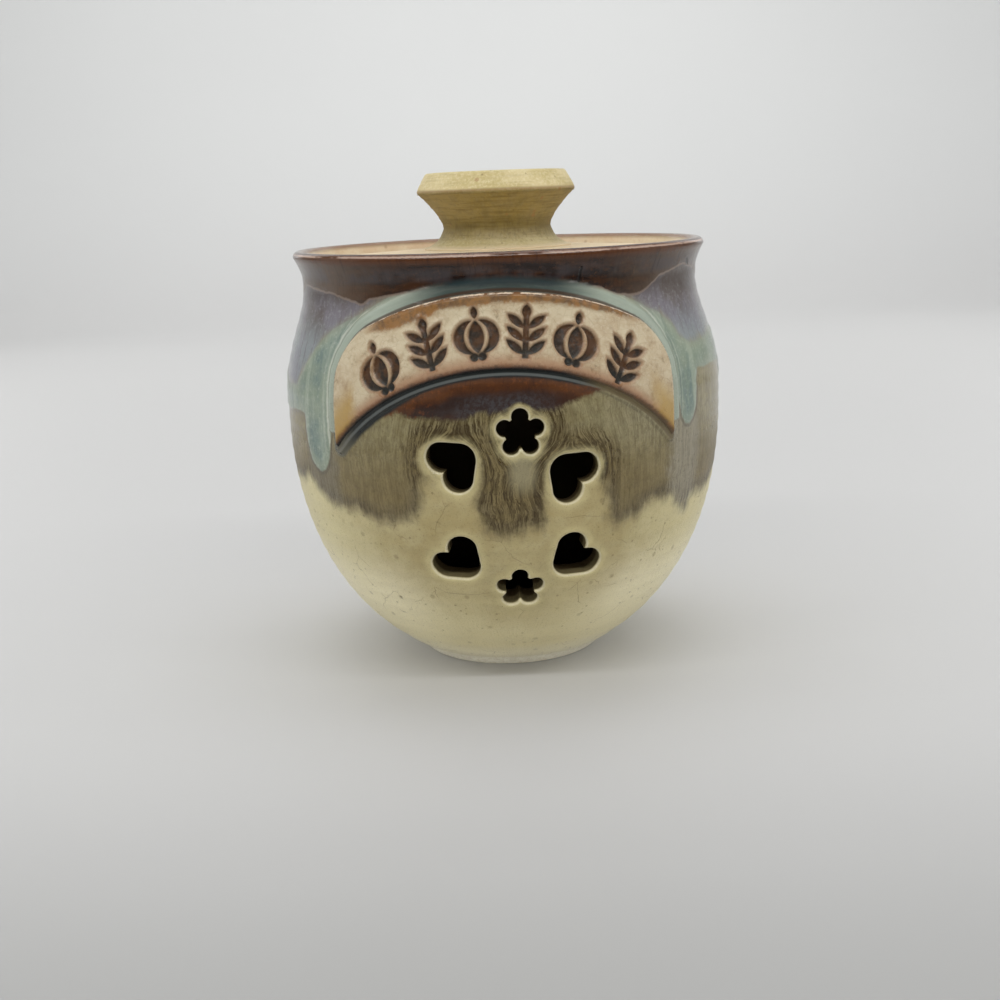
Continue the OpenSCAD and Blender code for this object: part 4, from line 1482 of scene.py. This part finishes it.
def pot_finish():
    """The pot's glazes, laid over each other in the order in which they were poured: satin cream, olive
    runs with fine dark streaks, rust and plum under the slab, a lavender shoulder, celadon, the brown
    rim, the roll under the slab, the inside, and the bare clay of the foot, which is painted near white
    as painted light from below."""
    f = PotSkin()
    wander = f.shift(f.place, f.stretch(f.sway, 5.0, 5.0, 5.0))
    hair = f.cracks(17.0, 0.14, wander) * f.fade(f.noise(9.0, 1.0), 0.5, 0.6)
    olive, dark = olive_glaze(f)
    spread = f.run.stir(4.0, f.fingers).stir(5.0, f.middling).stir(1.0, f.streaks)
    colour = f.mix(f.fade(spread, -3.0, 2.4), cream_glaze(f, hair), olive)
    colour = drawn_back(f, colour)

    # rust and lavender: below the slab and above it
    pooled = f.fade(f.pool.stir(4.0, f.fingers).stir(2.0, f.grain), -0.9, 0.9) * f.below
    pooled = pooled * f.fade(f.vent.stir(1.2, f.grain), 0.8, 2.0)
    up = f.fade(f.shoulder.stir(6.0, f.fingers), -3.5, 2.5) * f.above

    # celadon: a soft upper edge, a hard lower one and a dark line along that
    soft_top = f.fade(f.teal.stir(3.0, f.middling).stir(2.0, f.grain), -1.6, 2.4)
    hard_low = f.fade(f.teal.stir(1.0, f.middling), -0.35, 0.45)
    cover = hard_low + (soft_top - hard_low) * f.fade(f.shoulder + f.teal, -3.0, 3.0)
    low_line = f.fade(abs(f.teal + 0.5 + 1.0 * (f.middling - 0.5)), 0.7, 0.1) * f.fade(f.height, 90.0, 80.0)

    # brown rim: a pale line along its edge, a shore against the slab and two nicks at the front
    rim_edge = f.rim.stir(1.4, f.middling)
    pale = f.fade(abs(rim_edge), 0.5, 0.1) * f.fade(f.slab, 2.6, 4.0)
    shore = f.fade(f.slab.stir(0.8, f.grain), 4.4, 2.6) * f.above
    shore_colour = f.mix(f.fade(abs(f.front), 12.0, 30.0), (42, 58, 60), (158, 168, 154))
    nick = f.stroke(f.front, f.height - 113.2, 20.5, 0.195, (0.0, 4.2), 0.45)
    nick = nick.most(f.stroke(f.front, f.height - 114.8, 65.0, -1.4, (0.0, 2.4), 0.6)) * f.facing

    # the roll, narrower towards the right
    width = 1.7 + 1.0 * f.fade(f.front, -14.0, -30.0) - 0.7 * f.fade(f.front, 14.0, 24.0)
    roll = f.fade(f.slab.stir(0.7, f.middling) / width, 1.2, 0.8) * f.below

    tunnel = f.fade(f.depth, 0.6, 1.15) * f.fade(f.height, 105.0, 100.0)
    pepper = f.fade(f.fine, 0.55, 0.68) * f.fade(f.height, 98.0, 88.0) * f.fade(f.depth, 1.0, 0.5)
    bare = f.fade(f.height.stir(0.7, f.middling), FOOT_BAND + 0.8, FOOT_BAND + 0.4)
    # the bare clay, painted near white: painted light from below
    clay = f.mix(f.fade(f.grain, 0.4, 0.65), (248, 243, 224), (230, 222, 200))
    colour = f.coats(
        colour,
        (pooled, rust_glaze(f)),
        (up, lavender_glaze(f)),
        (cover, celadon_glaze(f)),
        (low_line * 0.5, (80, 76, 66)),
        (f.fade(rim_edge, -0.35, 0.45), brown_glaze(f)),
        (pale * 0.45, (142, 124, 110)),
        (shore * 0.85, shore_colour),
        # painted shade: a dark brown line in the join where the slab meets the wall
        (f.fade(f.slab, 0.9, 0.3) * f.above * 0.8, (70, 48, 34)),
        (nick * 0.9, (12, 8, 6)),
        (roll, roll_glaze(f)),
        (f.fade(f.depth, 8.0, 12.0), inner_glaze(f)),
        (tunnel * 0.8, (60, 48, 27)),
        (pepper * 0.22, (62, 50, 26)),
        (bare * f.fade(f.depth, 3.0, 1.0), clay),
    )

    gloss = f.fade(f.height.stir(8.0, f.fingers), 60.0, 78.0).most(roll) * (1.0 - bare)
    rough = 0.38 - 0.28 * gloss + 0.1 * f.fine + 0.4 * bare
    rough = rough * (1.0 - 0.7 * f.above * f.fade(f.slab, 6.0, 4.0))
    ridge = f.fade(abs(f.slab - 1.2), 0.9, 0.0) * f.below
    relief = 0.06 * f.grain + 0.02 * f.fine - 0.05 * dark + 0.12 * f.middling * (1.0 - 0.4 * gloss)
    relief = relief - 0.05 * hair * (1.0 - gloss) - 0.25 * nick + 0.35 * ridge
    return f.finish(colour, rough, relief, 0.1)


def stage_finish():
    """Plain pale floor and backdrop, with painted shade that darkens the floor towards the viewer and
    painted light on the backdrop.
    """
    f = Finish("floor")
    soft = f.noise(400.0, 1.0)
    way = f.part(f.place, "Y")
    colour = f.coats(
        (196, 196, 195),
        # painted shade towards the viewer, painted light on the backdrop
        (f.fade(way, -60.0, -220.0), (157, 157, 155)),
        (f.fade(way, 1100.0, 1500.0), (206, 207, 206)),
        (soft * 0.2, (190, 190, 191)),
    )
    return f.finish(colour, 0.5 + 0.1 * soft, 0.02 * soft, 0.0)


# ---- stage ----


def make_stage():
    """A large pale floor, in metres, that curves up into a backdrop behind the pot."""
    width, front, depth, rise, bend = 3.0, -0.88, 1.0, 2.4, 0.6
    a = np.linspace(0.0, math.pi / 2, 32)
    curve = np.stack([depth + bend * np.sin(a), bend * (1.0 - np.cos(a))], axis=1)
    path = np.concatenate(([[front, 0.0]], curve, [[depth + bend, rise]]))
    across = np.linspace(-width, width, 5)
    points = np.stack(np.broadcast_arrays(across, path[:, :1], path[:, 1:]), axis=-1).reshape(-1, 3)
    return make_mesh("floor", points / MM, grid_quads(len(path), len(across), False), [], {})


def area_light(name, place, target, size, power, mirrored=True):
    """A soft rectangular lamp at a place, turned to a target, and whether glossy surfaces mirror it.
    The camera doesn't see it."""
    data = bpy.data.lights.new(name, "AREA")
    data.shape = "RECTANGLE"
    data.size, data.size_y = size
    data.energy = power
    lamp = bpy.data.objects.new(name, data)
    lamp.visible_camera = False
    lamp.visible_glossy = mirrored
    towards = (Vector(target) - Vector(place)).to_track_quat("-Z", "Y")
    lamp.matrix_world = Matrix.Translation(Vector(place)) @ towards.to_matrix().to_4x4()
    bpy.context.scene.collection.objects.link(lamp)


def light_scene():
    """A pale room, darker in front where the viewer stands, with a softbox above, a thin strip above the
    front, large lamps at both sides, narrow ones behind them that draw bright edges, and lamps for the
    backdrop and low in front. Seen directly the room is plain grey."""
    world = bpy.data.worlds.new("studio")
    world.use_nodes = True
    room = Nodes(world.node_tree)
    way = room.part(room.wire("TexCoord", output="Generated"), "Y")
    front, rise, seen = 0.08, 0.47, 0.6
    level = front + rise * room.fade(way, -0.8, 0.0)
    level = level + (seen - level) * room.wire("LightPath", output="Is Camera Ray")
    background = world.node_tree.nodes["Background"]
    background.inputs["Color"].default_value = (1.0, 1.0, 1.0, 1.0)
    world.node_tree.links.new(level.socket, background.inputs["Strength"])
    bpy.context.scene.world = world
    middle = (0.0, 0.0, 0.07)
    area_light("lamp_top", (0.0, 0.1, 0.9), middle, (0.6, 0.4), 1.5)
    area_light("lamp_strip", (0.0, -0.42, 0.62), (0.0, 0.0, 0.1), (1.4, 0.022), 3.2)
    area_light("lamp_left", (-0.85, 0.25, 0.2), middle, (0.6, 0.8), 2.9, mirrored=False)
    area_light("lamp_right", (0.85, 0.25, 0.2), middle, (0.6, 0.8), 2.9, mirrored=False)
    area_light("edge_left", (-0.5, 0.8, 0.45), middle, (0.07, 0.6), 0.22)
    area_light("edge_right", (0.5, 0.8, 0.45), middle, (0.07, 0.6), 0.22)
    area_light("lamp_low", (0.0, -0.9, 0.14), (0.0, 0.0, 0.03), (1.6, 0.2), 3.9, mirrored=False)
    area_light("lamp_back", (0.0, 0.75, 1.25), (0.0, 1.6, 0.45), (2.2, 0.3), 17.0)


make_camera()
bpy.context.scene.view_settings.view_transform = "Standard"
light_scene()

pot = make_pot()
pot.data.materials.append(pot_finish())
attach(pot, "pot")
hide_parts("pot_body")

slab = make_slab()
slab.data.materials.append(label_finish())
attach(slab, "pot")
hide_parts("label_plaque")

lid_top = make_lid_plate()
lid_top.data.materials.append(lid_finish())
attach(lid_top, "lid")
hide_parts("lid_plate")

lid_handle = make_knob()
lid_handle.data.materials.append(lid_top.data.materials[0])
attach(lid_handle, "lid")
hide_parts("lid_knob")

floor = make_stage()
floor.data.materials.append(stage_finish())
